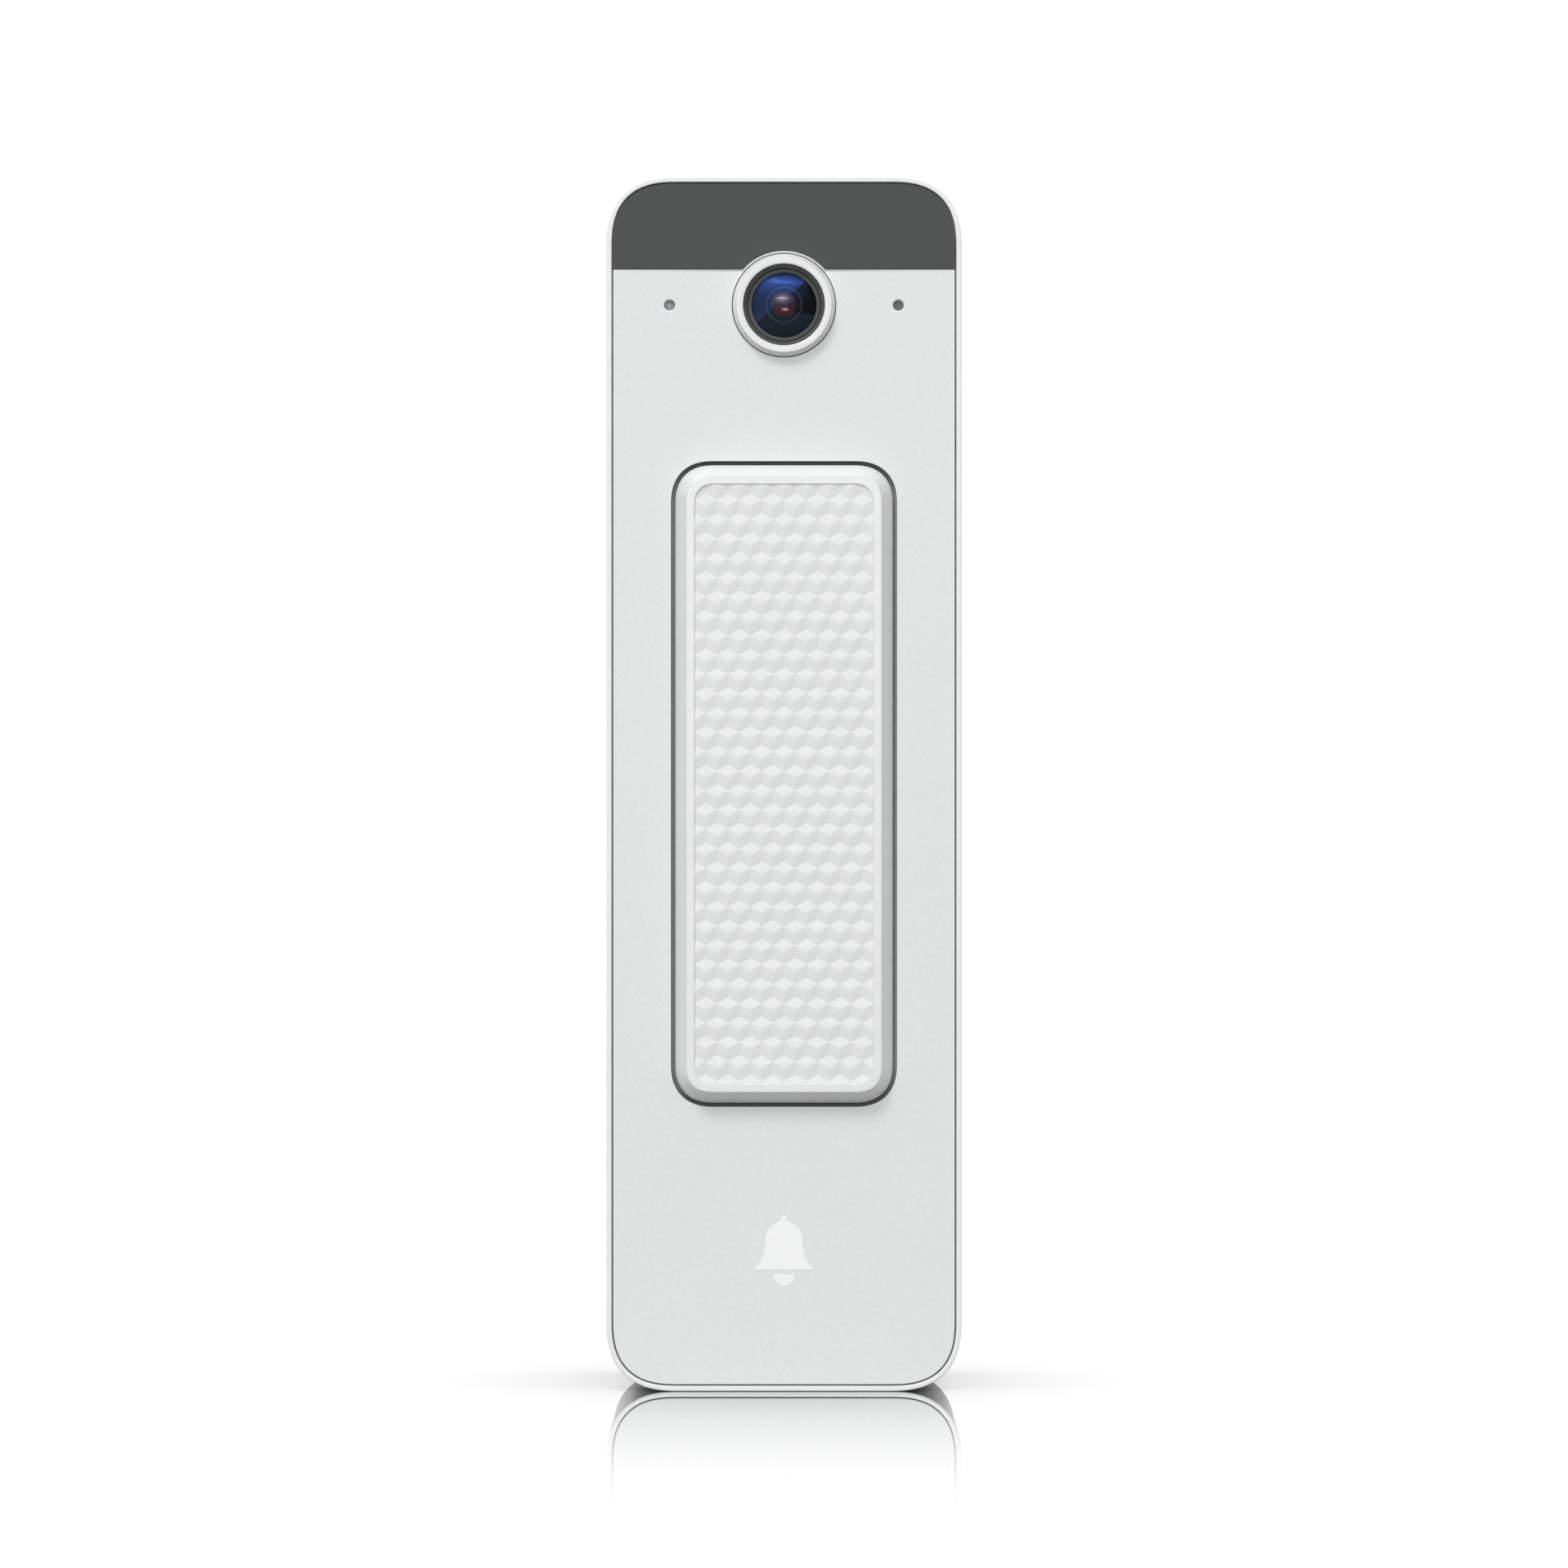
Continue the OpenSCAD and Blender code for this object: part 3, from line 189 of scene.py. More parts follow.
class Solid:
    """A mesh in millimetres that is built from rings and caps, then stored in metres."""

    def __init__(self):
        self.bm = bmesh.new()

    def ring(self, points, depth):
        return [self.bm.verts.new((x, -depth, z)) for x, z in points]

    def ring_xyz(self, points):
        return [self.bm.verts.new(p) for p in points]

    def skin(self, a, b):
        """Quads between two rings of equal length."""
        n = len(a)
        for i in range(n):
            j = (i + 1) % n
            self.bm.faces.new((a[i], a[j], b[j], b[i]))

    def loft(self, rings):
        for a, b in zip(rings, rings[1:]):
            self.skin(a, b)
        return rings[0], rings[-1]

    def cap(self, *rings):
        """Flat face between an outer ring and any holes."""
        edges = []
        for ring in rings:
            n = len(ring)
            for i in range(n):
                pair = (ring[i], ring[(i + 1) % n])
                edges.append(self.bm.edges.get(pair) or self.bm.edges.new(pair))
        bmesh.ops.triangle_fill(self.bm, edges=edges, use_beauty=True)

    def fan(self, ring, centre):
        """Triangles from a ring to one point on its axis."""
        tip = self.bm.verts.new(centre)
        n = len(ring)
        for i in range(n):
            self.bm.faces.new((ring[i], ring[(i + 1) % n], tip))

    def prism(self, points, from_d, to_d):
        """Straight solid of an outline between two depths."""
        low, high = self.ring(points, from_d), self.ring(points, to_d)
        self.skin(low, high)
        self.cap(low)
        self.cap(high)

    def plate(self, outer, outer_rings, holes=()):
        """Flat solid with shaped edges.

        outer_rings is a list of (inset, depth) from the back face to the front one, and
        each hole is (outline, rings) with rings of (growth, depth) in the same order.
        """
        low, high = self.loft([self.ring(grown(outer, -inset), d) for inset, d in outer_rings])
        lows, highs = [low], [high]
        for points, rings in holes:
            a, b = self.loft([self.ring(grown(points, g), d) for g, d in rings])
            lows.append(a)
            highs.append(b)
        self.cap(*lows)
        self.cap(*highs)

    def mesh(self, name):
        bmesh.ops.remove_doubles(self.bm, verts=self.bm.verts, dist=1e-5)
        bmesh.ops.recalc_face_normals(self.bm, faces=self.bm.faces)
        bmesh.ops.scale(self.bm, vec=(MM, MM, MM), verts=self.bm.verts)
        data = bpy.data.meshes.new(name)
        self.bm.to_mesh(data)
        self.bm.free()
        return data

    def object(self, name):
        obj = bpy.data.objects.new(name, self.mesh(name))
        bpy.context.scene.collection.objects.link(obj)
        return obj


def lathe(solid, x, z, profile, steps=128):
    """Closed turned shape about a depth axis, from points (radius, depth)."""
    rings = []
    for r, d in profile:
        if r > 1e-6:
            rings.append(solid.ring(circle(x, z, r, steps), d))
        else:
            rings.append((x, -d, z))
    n = len(rings)
    for i in range(n):
        a, b = rings[i], rings[(i + 1) % n]
        if isinstance(a, list) and isinstance(b, list):
            solid.skin(a, b)
        elif isinstance(a, list):
            solid.fan(a, b)
        elif isinstance(b, list):
            solid.fan(b, a)


def cap_profile(edge_r, sag, apex_d, steps=16):
    """Points of a lens surface from its edge to its axis."""
    ball_r = (edge_r * edge_r + sag * sag) / (2 * abs(sag))
    reach = math.asin(min(edge_r / ball_r, 1))
    sign = 1 if sag > 0 else -1
    points = []
    for i in range(steps, -1, -1):
        a = reach * i / steps
        points.append((ball_r * math.sin(a), apex_d - sign * ball_r * (1 - math.cos(a))))
    return points


def combine(target, other, operation):
    """Adds or cuts another object with a boolean, and deletes that object."""
    modifier = target.modifiers.new(operation.lower(), "BOOLEAN")
    modifier.operation = operation
    modifier.solver = "EXACT"
    modifier.object = other
    bpy.context.view_layer.update()
    result = bpy.data.meshes.new_from_object(
        target.evaluated_get(bpy.context.evaluated_depsgraph_get()))
    target.modifiers.clear()
    target.data = result
    bpy.data.objects.remove(other)


def soften(obj, limit):
    """Smooth shading across edges flatter than the limit in degrees, with level flats."""
    bm = bmesh.new()
    bm.from_mesh(obj.data)
    limit = math.radians(limit)
    for face in bm.faces:
        face.smooth = True
    for edge in bm.edges:
        edge.smooth = len(edge.link_faces) == 2 and edge.calc_face_angle(0) < limit
    bm.to_mesh(obj.data)
    bm.free()
    modifier = obj.modifiers.new("level_flats", "WEIGHTED_NORMAL")
    modifier.keep_sharp = True


def place(obj, body, material, stands_for=(), limit=32):
    """Gives a finished piece its shading, material, body and the CAD nodes it hides."""
    soften(obj, limit)
    obj.data.materials.clear()
    obj.data.materials.append(material)
    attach(obj, body)
    if stands_for:
        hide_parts(*stands_for)
    return obj


# ---- Materials ----

class Look:
    """A Principled material with the node helpers the surfaces share."""

    def __init__(self, name, colour, roughness, **sockets):
        self.material = bpy.data.materials.new(name)
        self.material.use_nodes = True
        self.nodes = self.material.node_tree.nodes
        self.links = self.material.node_tree.links
        self.bsdf = self.nodes["Principled BSDF"]
        self.colour = tuple(colour[:3]) + (1,)
        self.bsdf.inputs["Base Color"].default_value = self.colour
        self.bsdf.inputs["Roughness"].default_value = roughness
        for socket, value in sockets.items():
            self.bsdf.inputs[socket.replace("_", " ")].default_value = value
        self.coords = self.nodes.new("ShaderNodeTexCoord").outputs["Object"]
        self.heights = []

    def node(self, kind, inputs=None, **settings):
        node = self.nodes.new(kind)
        for key, value in settings.items():
            setattr(node, key, value)
        for key, value in (inputs or {}).items():
            if isinstance(value, bpy.types.NodeSocket):
                self.links.new(value, node.inputs[key])
            else:
                node.inputs[key].default_value = value
        return node

    def math(self, operation, a, b=0.0):
        return self.node("ShaderNodeMath", {0: a, 1: b}, operation=operation).outputs[0]

    def noise(self, size_mm, detail=2.0, rough=0.5, stretch=(1, 1, 1)):
        """Noise whose features are about size_mm across."""
        mapping = self.node("ShaderNodeMapping", {"Vector": self.coords})
        mapping.inputs["Scale"].default_value = stretch
        return self.node("ShaderNodeTexNoise",
                         {"Vector": mapping.outputs[0], "Scale": 1 / (size_mm * MM),
                          "Detail": detail, "Roughness": rough}).outputs["Fac"]

    def mottle(self, size_mm, amount, detail=3.0):
        """Slight light and dark variation of the base colour."""
        ramp = self.node("ShaderNodeMapRange", {"Value": self.noise(size_mm, detail),
                                                "From Min": 0.3, "From Max": 0.7,
                                                "To Min": 1 - amount, "To Max": 1 + amount})
        source = self.source("Base Color")
        mixed = self.node("ShaderNodeVectorMath", {0: source, "Scale": ramp.outputs[0]},
                          operation="SCALE").outputs[0]
        self.links.new(mixed, self.bsdf.inputs["Base Color"])
        return self

    def source(self, socket):
        """What feeds a colour socket now, or its plain colour."""
        if self.bsdf.inputs[socket].is_linked:
            return self.bsdf.inputs[socket].links[0].from_socket
        rgb = self.node("ShaderNodeRGB")
        rgb.outputs[0].default_value = self.bsdf.inputs[socket].default_value
        return rgb.outputs[0]

    def rough_by(self, size_mm, low, high):
        ramp = self.node("ShaderNodeMapRange", {"Value": self.noise(size_mm, 4.0),
                                                "From Min": 0.3, "From Max": 0.7,
                                                "To Min": low, "To Max": high})
        self.links.new(ramp.outputs[0], self.bsdf.inputs["Roughness"])
        return self

    def bump(self, height, distance_mm, strength=1.0):
        """Adds a bump layer whose full height is distance_mm."""
        inputs = {"Height": height, "Distance": distance_mm * MM, "Strength": strength}
        if self.bsdf.inputs["Normal"].is_linked:
            inputs["Normal"] = self.bsdf.inputs["Normal"].links[0].from_socket
        node = self.node("ShaderNodeBump", inputs)
        self.links.new(node.outputs[0], self.bsdf.inputs["Normal"])
        return self

    def grain(self, size_mm, distance_mm, detail=2.0):
        return self.bump(self.noise(size_mm, detail), distance_mm)


def srgb(r, g, b):
    """Linear colour of an 8-bit display colour."""
    def linear(v):
        v /= 255
        return v / 12.92 if v <= 0.04045 else ((v + 0.055) / 1.055) ** 2.4
    return (linear(r), linear(g), linear(b))


def blend_colour(look, factor, a, b):
    """Mix of two colours, each a socket or a plain value."""
    def as_input(c):
        return c if isinstance(c, bpy.types.NodeSocket) else tuple(c[:3]) + (1,)
    return look.node("ShaderNodeMix", {"Factor": factor, 6: as_input(a), 7: as_input(b)},
                     data_type="RGBA").outputs[2]


def moulded(name, colour, roughness, grain_mm=0.35, height_mm=0.006, **sockets):
    """Fine-grained moulded plastic."""
    look = Look(name, colour, roughness, **sockets)
    look.mottle(6, 0.008).rough_by(1.2, roughness - 0.05, roughness + 0.05)
    return look.grain(grain_mm, height_mm).material


def panel_look():
    """Light grey panel with a very fine matt grain."""
    look = Look("panel_light_grey", (0.85, 0.86, 0.865), 0.55, Specular_IOR_Level=0.35)
    look.mottle(0.3, 0.025, 2.0).mottle(9, 0.005)
    return look.grain(0.3, 0.008, 3.0).material


def mark_look():
    """Glossy white foil."""
    look = Look("mark_white", (0.95, 0.955, 0.96), 0.25, Specular_IOR_Level=0.9)
    return look.mottle(1.0, 0.01).grain(0.5, 0.001).material


def window_look():
    """Dark infrared-clear plastic with a satin face."""
    look = Look("window_smoke", srgb(71, 72, 72), 0.5, Specular_IOR_Level=0.25)
    look.mottle(0.3, 0.02, 2.0)
    return look.grain(0.3, 0.004).material


def rubber_look(name, colour):
    look = Look(name, colour, 0.75, Specular_IOR_Level=0.3)
    return look.mottle(0.8, 0.06).grain(0.2, 0.01).material


def foam_look_with_painted_shade():
    """Grey foam with painted shade: darker along the button's short sides, where the gap lies in
    shade.
    """
    look = Look("grey_foam", (0.3, 0.3, 0.3), 0.8, Specular_IOR_Level=0.2)
    # Painted shade: the colour darkens towards the button's top and bottom ends, by height alone.
    height = look.node("ShaderNodeSeparateXYZ", {0: look.coords}).outputs["Z"]
    end = look.node("ShaderNodeMapRange", {"Value": look.math("ABSOLUTE", height),
                                           "From Min": 35.2 * MM, "From Max": 39.2 * MM})
    colour = blend_colour(look, end.outputs[0], look.colour, (0.1, 0.1, 0.1))
    look.links.new(colour, look.bsdf.inputs["Base Color"])
    return look.mottle(0.8, 0.05).grain(0.2, 0.01).material


def metal_look(name, colour, roughness, stretch=(1, 1, 1)):
    """Metal with fine drawn or turned marks."""
    look = Look(name, colour, roughness, Metallic=1.0)
    look.mottle(3, 0.03).rough_by(0.8, roughness - 0.06, roughness + 0.08)
    return look.bump(look.noise(0.15, 3.0, 0.6, stretch), 0.003).material


def board_look():
    """Green solder mask with faint traces under it."""
    look = Look("circuit_board", (0.008, 0.08, 0.03), 0.3, Coat_Weight=0.3, Coat_Roughness=0.2)
    brick = look.node("ShaderNodeTexVoronoi", {"Vector": look.coords, "Scale": 700},
                      feature="DISTANCE_TO_EDGE", distance="CHEBYCHEV")
    trace = look.node("ShaderNodeMapRange", {"Value": brick.outputs["Distance"],
                                             "From Min": 0.02, "From Max": 0.05})
    mixed = look.node("ShaderNodeMix", {"Factor": trace.outputs[0], 6: (0.02, 0.16, 0.06, 1),
                                        7: look.colour}, data_type="RGBA")
    look.links.new(mixed.outputs[2], look.bsdf.inputs["Base Color"])
    return look.bump(trace.outputs[0], 0.02).material


def chip_look():
    look = Look("component_black", (0.02, 0.02, 0.022), 0.55)
    return look.mottle(0.5, 0.08).grain(0.12, 0.01).material


def clear_look(name, colour, alpha, roughness=0.08):
    """Clear plastic or glass, drawn with a partly transparent surface."""
    look = Look(name, colour, roughness, Alpha=alpha, Specular_IOR_Level=0.5)
    return look.mottle(1.5, 0.02).grain(1.0, 0.001).material


def lamp_look():
    look = Look("lamp_resin", (0.6, 0.64, 0.68), 0.12, Coat_Weight=0.6)
    return look.mottle(0.4, 0.05).grain(0.3, 0.003).material


def ribbon_look():
    """Orange film with fine copper tracks."""
    look = Look("ribbon_film", (0.5, 0.18, 0.02), 0.35)
    wave = look.node("ShaderNodeTexWave", {"Vector": look.coords, "Scale": 300},
                     bands_direction="X")
    mixed = look.node("ShaderNodeMix", {"Factor": wave.outputs["Fac"], 6: (0.35, 0.1, 0.01, 1),
                                        7: (0.62, 0.26, 0.05, 1)}, data_type="RGBA")
    look.links.new(mixed.outputs[2], look.bsdf.inputs["Base Color"])
    return look.bump(wave.outputs["Fac"], 0.01).material


def mesh_look():
    """Fine woven acoustic mesh."""
    look = Look("mesh_black", (0.02, 0.02, 0.02), 0.6, Sheen_Weight=0.3)
    threads = []
    for axis in ("X", "Y"):
        wave = look.node("ShaderNodeTexWave", {"Vector": look.coords, "Scale": 900},
                         bands_direction=axis)
        threads.append(wave.outputs["Fac"])
    weave = look.math("MULTIPLY", threads[0], threads[1])
    mixed = look.node("ShaderNodeMix", {"Factor": weave, 6: (0.008, 0.008, 0.008, 1),
                                        7: (0.07, 0.07, 0.07, 1)}, data_type="RGBA")
    look.links.new(mixed.outputs[2], look.bsdf.inputs["Base Color"])
    return look.bump(weave, 0.05).material


def coil_look():
    look = Look("copper_coil", (0.45, 0.16, 0.06), 0.3, Metallic=0.8)
    wave = look.node("ShaderNodeTexWave", {"Vector": look.coords, "Scale": 2500},
                     bands_direction="Z")
    return look.mottle(0.5, 0.1).bump(wave.outputs["Fac"], 0.04).material


def powder_look():
    """Powder coat with its orange-peel texture."""
    look = Look("bracket_paint", (0.6, 0.61, 0.62), 0.45, Specular_IOR_Level=0.4)
    look.mottle(4, 0.02)
    return look.grain(0.6, 0.02).grain(0.15, 0.005).material


SLOT_LOOKS = {
    "housing_white": lambda: moulded("housing_white", (0.88, 0.885, 0.89), 0.38, 0.25, 0.003),
    "panel_light_grey": panel_look,
    "mark_white": mark_look,
    "window_smoke": window_look,
    "bezel_white": lambda: moulded("bezel_white", (0.775, 0.78, 0.785), 0.35, 0.2, 0.002,
                                   Specular_IOR_Level=0.9),
    "barrel_black": lambda: moulded("barrel_black", srgb(78, 78, 78), 0.5, 0.2, 0.003),
    "lens_glass": lambda: clear_look("lens_glass", (0.02, 0.03, 0.08), 0.5, 0.04),
    "filter_glass": lambda: clear_look("filter_glass", (0.4, 0.7, 0.65), 0.45),
    "black_plastic": lambda: moulded("black_plastic", (0.022, 0.022, 0.023), 0.5),
    "black_rubber": lambda: rubber_look("black_rubber", (0.02, 0.02, 0.02)),
    "grey_foam": foam_look_with_painted_shade,
    "button_white": lambda: moulded("button_white", (0.74, 0.745, 0.75), 0.38, 0.25, 0.003,
                                    Specular_IOR_Level=1.0, Coat_Weight=0.8,
                                    Coat_Roughness=0.3),
    "button_milk": lambda: moulded("button_milk", (0.84, 0.845, 0.85), 0.4, 0.25, 0.002),
    "clear_acrylic": lambda: clear_look("clear_acrylic", (0.8, 0.84, 0.86), 0.4),
    "silicone": lambda: rubber_look("silicone", (0.5, 0.51, 0.52)),
    "switch_brown": lambda: moulded("switch_brown", (0.2, 0.07, 0.02), 0.45),
    "circuit_board": board_look,
    "component_black": chip_look,
    "lamp_resin": lamp_look,
    "ribbon_film": ribbon_look,
    "steel": lambda: metal_look("steel", (0.45, 0.45, 0.46), 0.3),
    "tin_plate": lambda: metal_look("tin_plate", (0.6, 0.6, 0.58), 0.35, (6, 1, 1)),
    "brass": lambda: metal_look("brass", (0.7, 0.48, 0.18), 0.3),
    "gold_contact": lambda: metal_look("gold_contact", (0.85, 0.58, 0.2), 0.2),
    "aluminium": lambda: metal_look("aluminium", (0.65, 0.66, 0.67), 0.35, (1, 1, 8)),
    "copper_coil": coil_look,
    "bracket_paint": powder_look,
    "speaker_film": lambda: moulded("speaker_film", (0.07, 0.07, 0.08), 0.35),
    "mesh_black": mesh_look,
    "lead_red": lambda: rubber_look("lead_red", (0.3, 0.015, 0.015)),
}
LOOKS = {slot: make() for slot, make in SLOT_LOOKS.items()}


def dress_cad_nodes():
    """Every CAD node takes the finish of its slot, except the vent disc, which is paler."""
    pale = {"mic_vent": rubber_look("vent_grey", (0.3, 0.3, 0.3))}
    for part in RECORD["subparts"]:
        node = frame["nodes"][part["node"]]
        material = pale.get(part["node"], LOOKS[part["material_slot"]])
        if not node.material_slots:
            node.data.materials.append(material)
        for slot in node.material_slots:
            slot.material = material


# ---- Camera, light and floor ----

VIEW_DISTANCE = 700
VIEW_WIDTH = 194.2
SENSOR_WIDTH = 36


def add_camera():
    """Level view of the front, at the middle of the object's height."""
    data = bpy.data.cameras.new("camera")
    data.sensor_width = SENSOR_WIDTH
    data.lens = SENSOR_WIDTH * VIEW_DISTANCE / VIEW_WIDTH
    data.clip_end = 20
    camera = bpy.data.objects.new("camera", data)
    camera.location = (0, -(FACE_D + VIEW_DISTANCE) * MM, 0)
    camera.rotation_euler = (math.radians(90), 0, 0)
    bpy.context.scene.collection.objects.link(camera)
    bpy.context.scene.camera = camera


def add_softbox(name, direction, distance, size, power):
    """Square area light that faces the object from a direction."""
    data = bpy.data.lights.new(name, "AREA")
    data.shape = "SQUARE"
    data.size = size
    data.energy = power
    light = bpy.data.objects.new(name, data)
    towards = Vector(direction).normalized()
    light.location = towards * distance
    light.rotation_euler = towards.to_track_quat("Z", "Y").to_euler()
    bpy.context.scene.collection.objects.link(light)


SEEN_STRENGTH = 1.05
FILL_STRENGTH = 0.78
BOX_DISTANCE = 4.0


def add_light():
    """White surroundings that light weakly, a large front box and a box high up in front."""
    world = bpy.data.worlds.new("studio")
    bpy.context.scene.world = world
    world.use_nodes = True
    nodes, links = world.node_tree.nodes, world.node_tree.links
    background = nodes["Background"]
    path = nodes.new("ShaderNodeLightPath")
    strength = nodes.new("ShaderNodeMapRange")
    strength.inputs["To Min"].default_value = SEEN_STRENGTH
    strength.inputs["To Max"].default_value = FILL_STRENGTH
    links.new(path.outputs["Is Diffuse Ray"], strength.inputs["Value"])
    links.new(strength.outputs[0], background.inputs["Strength"])
    background.inputs["Color"].default_value = (1, 1, 1, 1)
    add_softbox("front_box", (-0.14, -0.99, 0.0), BOX_DISTANCE, 2.2, 55.5)
    add_softbox("top_box", (-0.27, -0.52, 0.81), BOX_DISTANCE, 1.1, 66)


FLOOR_HALF = 3.0
FLOOR_GAP = 0.02
FLOOR_SEEN = (0.95, 0.95, 0.95, 1)
BOUNCE_RADII = (0.03, 0.07)
BOUNCE_SHADES = (0.2, 0.12)
POLISH_REACH = 0.07
CONTACT_REACH = 0.035
CONTACT_SHADE = 0.55


def floor_bounce(look):
    """Shade that the floor returns to the object's diffuse light, near it and farther off."""
    flat = look.node("ShaderNodeVectorMath", {0: look.coords, 1: (1, 1, 0)}, operation="MULTIPLY")
    away = look.node("ShaderNodeVectorMath", {0: flat.outputs[0]}, operation="LENGTH")
    near, far = BOUNCE_RADII
    near_shade, far_shade = BOUNCE_SHADES
    return look.node("ShaderNodeMapRange", {"Value": away.outputs["Value"], "From Min": near,
                                            "From Max": far, "To Min": near_shade,
                                            "To Max": far_shade}).outputs[0]


def floor_polish(look):
    """Share of mirror in the floor: full up to the object's face, fading in front of it."""
    separate = look.node("ShaderNodeSeparateXYZ", {0: look.coords})
    ahead = look.math("SUBTRACT", -FACE_D * MM, separate.outputs["Y"])
    ahead = look.math("DIVIDE", ahead, POLISH_REACH)
    ahead = look.math("POWER", look.math("MAXIMUM", ahead, 0.0), 1.8)
    return look.math("POWER", math.e, look.math("MULTIPLY", ahead, -1.0))


def floor_mirror(look):
    """Mirror that darkens where the object meets the floor."""
    shade = look.node("ShaderNodeAmbientOcclusion", {"Distance": CONTACT_REACH}, samples=16)
    contact = look.node("ShaderNodeMapRange", {"Value": shade.outputs["AO"],
                                               "To Min": CONTACT_SHADE, "To Max": 1.0})
    return look.node("ShaderNodeBsdfGlossy", {"Color": contact.outputs[0],
                                              "Roughness": 0.02}).outputs[0]


def floor_look():
    look = Look("floor_white", (1, 1, 1), 0.9, Specular_IOR_Level=0.0)
    path = look.node("ShaderNodeLightPath")
    colour = look.node("ShaderNodeMix", {"Factor": path.outputs["Is Diffuse Ray"],
                                         6: FLOOR_SEEN, 7: floor_bounce(look)},
                       data_type="RGBA")
    look.links.new(colour.outputs[2], look.bsdf.inputs["Base Color"])
    polish = look.math("MULTIPLY", floor_polish(look), path.outputs["Is Camera Ray"])
    mix = look.node("ShaderNodeMixShader", {0: polish, 1: look.bsdf.outputs[0],
                                            2: floor_mirror(look)})
    look.links.new(mix.outputs[0], look.nodes["Material Output"].inputs["Surface"])
    return look.material


def add_floor():
    """Plain white floor, polished in front of the object and just clear of its underside."""
    size = FLOOR_HALF
    mesh = bpy.data.meshes.new("floor")
    z = (-BODY_HH - FLOOR_GAP) * MM
    corners = [(-size, -size, z), (size, -size, z), (size, size, z), (-size, size, z)]
    mesh.from_pydata(corners, [], [(0, 1, 2, 3)])
    floor = bpy.data.objects.new("floor", mesh)
    bpy.context.scene.collection.objects.link(floor)
    mesh.materials.append(floor_look())


# ---- Housing ----

FLOOR_D = 5.0
INNER_FLOOR_D = 6.4
LEDGE_D = PANEL_BACK_D - 0.2
GASKET_Z = node_span("cable_gasket").z
GASKET_W = 3.2
WELL_HW = 10.2
WELL_Z = (GASKET_Z[0] + GASKET_W, GASKET_Z[1] - GASKET_W)
WELL_D = 16.8
WELL_WALL = 1.2
SOUND_SLOTS = [4 * i for i in range(-3, 4)]
CHASSIS_POST = (17.2, 46)
BOARD_POST = (16.5, 38)
BOARD_LOW_POST = (16.5, -8)
UPPER_POST = (15.5, 53)
CAMERA_POST = (11.2, CAMERA_Z)
HOOK_X = 12


def housing_shell(solid):
    """The tub: inner floor and wall, ledge, rim, outer side, rear edge and recess."""
    rings = []

    def add(inset, depth, power=CORNER_POWER):
        rings.append(solid.ring(body_outline(inset, power), depth))

    edge_r = 0.15
    lip_r = 0.1
    rear_r = 0.6
    recess = WALL_T + 0.2
    middle = RIM_W - lip_r
    add(WALL_T, INNER_FLOOR_D)
    add(WALL_T, LEDGE_D)
    inner = [(RIM_W, LEDGE_D, 0), (RIM_W, RIM_D, lip_r), (edge_r, RIM_D, 0)]
    outer = [(middle, RIM_D, 0), (0, RIM_D, edge_r), (0, REAR_D, rear_r),
             (recess, REAR_D, 0.2), (recess, FLOOR_D, 0)]
    for inset, depth in rounded(inner)[:-1]:
        add(inset, depth, PANEL_POWER)
    for inset, depth in rounded(outer, 6)[1:]:
        add(inset, depth)
    solid.loft(rings)
    opening = rect((-WELL_HW, WELL_HW), WELL_Z)
    well = solid.ring(opening, FLOOR_D)
    shaft = solid.ring(opening, WELL_D)
    solid.skin(well, shaft)
    solid.cap(shaft)
    solid.cap(rings[-1], well)
    box_hw = WELL_HW + WELL_WALL
    box = rect((-box_hw, box_hw), (WELL_Z[0] - WELL_WALL, WELL_Z[1] + WELL_WALL))
    foot = solid.ring(box, INNER_FLOOR_D)
    head = solid.ring(box, WELL_D + WELL_WALL)
    solid.skin(foot, head)
    solid.cap(head)
    solid.cap(rings[0], foot)


def add_box(solid, x, z, d):
    solid.prism(rect(x, z), d[0], d[1])


def housing_ribs():
    """Posts for the boards and the chassis, the hook keepers and the speaker's shelf."""
    solid = Solid()
    root = INNER_FLOOR_D - 0.5
    chassis_low = node_span("inner_chassis").d[1] - 1.8
    chassis_x, chassis_z = CHASSIS_POST
    board_top = 8.6
    posts = [(chassis_x, chassis_z, 2.4, chassis_low), (chassis_x, -chassis_z, 2.4, chassis_low),
             (*BOARD_POST, 2, board_top), (*BOARD_LOW_POST, 2, board_top),
             (*UPPER_POST, 2, node_span("upper_board").d[0]), (*CAMERA_POST, 1.8, 8.0)]
    for x, z, r, top in posts:
        for side in (-1, 1):
            solid.prism(circle(side * x, z, r, 32), root, top)
    for side in (-1, 1):
        middle = side * HOOK_X
        for end in (-1, 1):
            rib = middle + end * 2.6
            add_box(solid, (rib - 0.4, rib + 0.4), (58, 64), (2.0, FLOOR_D + 0.5))
        add_box(solid, (middle - 2.3, middle + 2.3), (60.3, 62.3), (2.02, 3.1))
    mesh_low, mesh_high = node_span("speaker_mesh").z
    add_box(solid, (-8, 8), (mesh_low - 0.5, mesh_high + 4), (root, 8.2))
    return solid.object("housing_ribs")


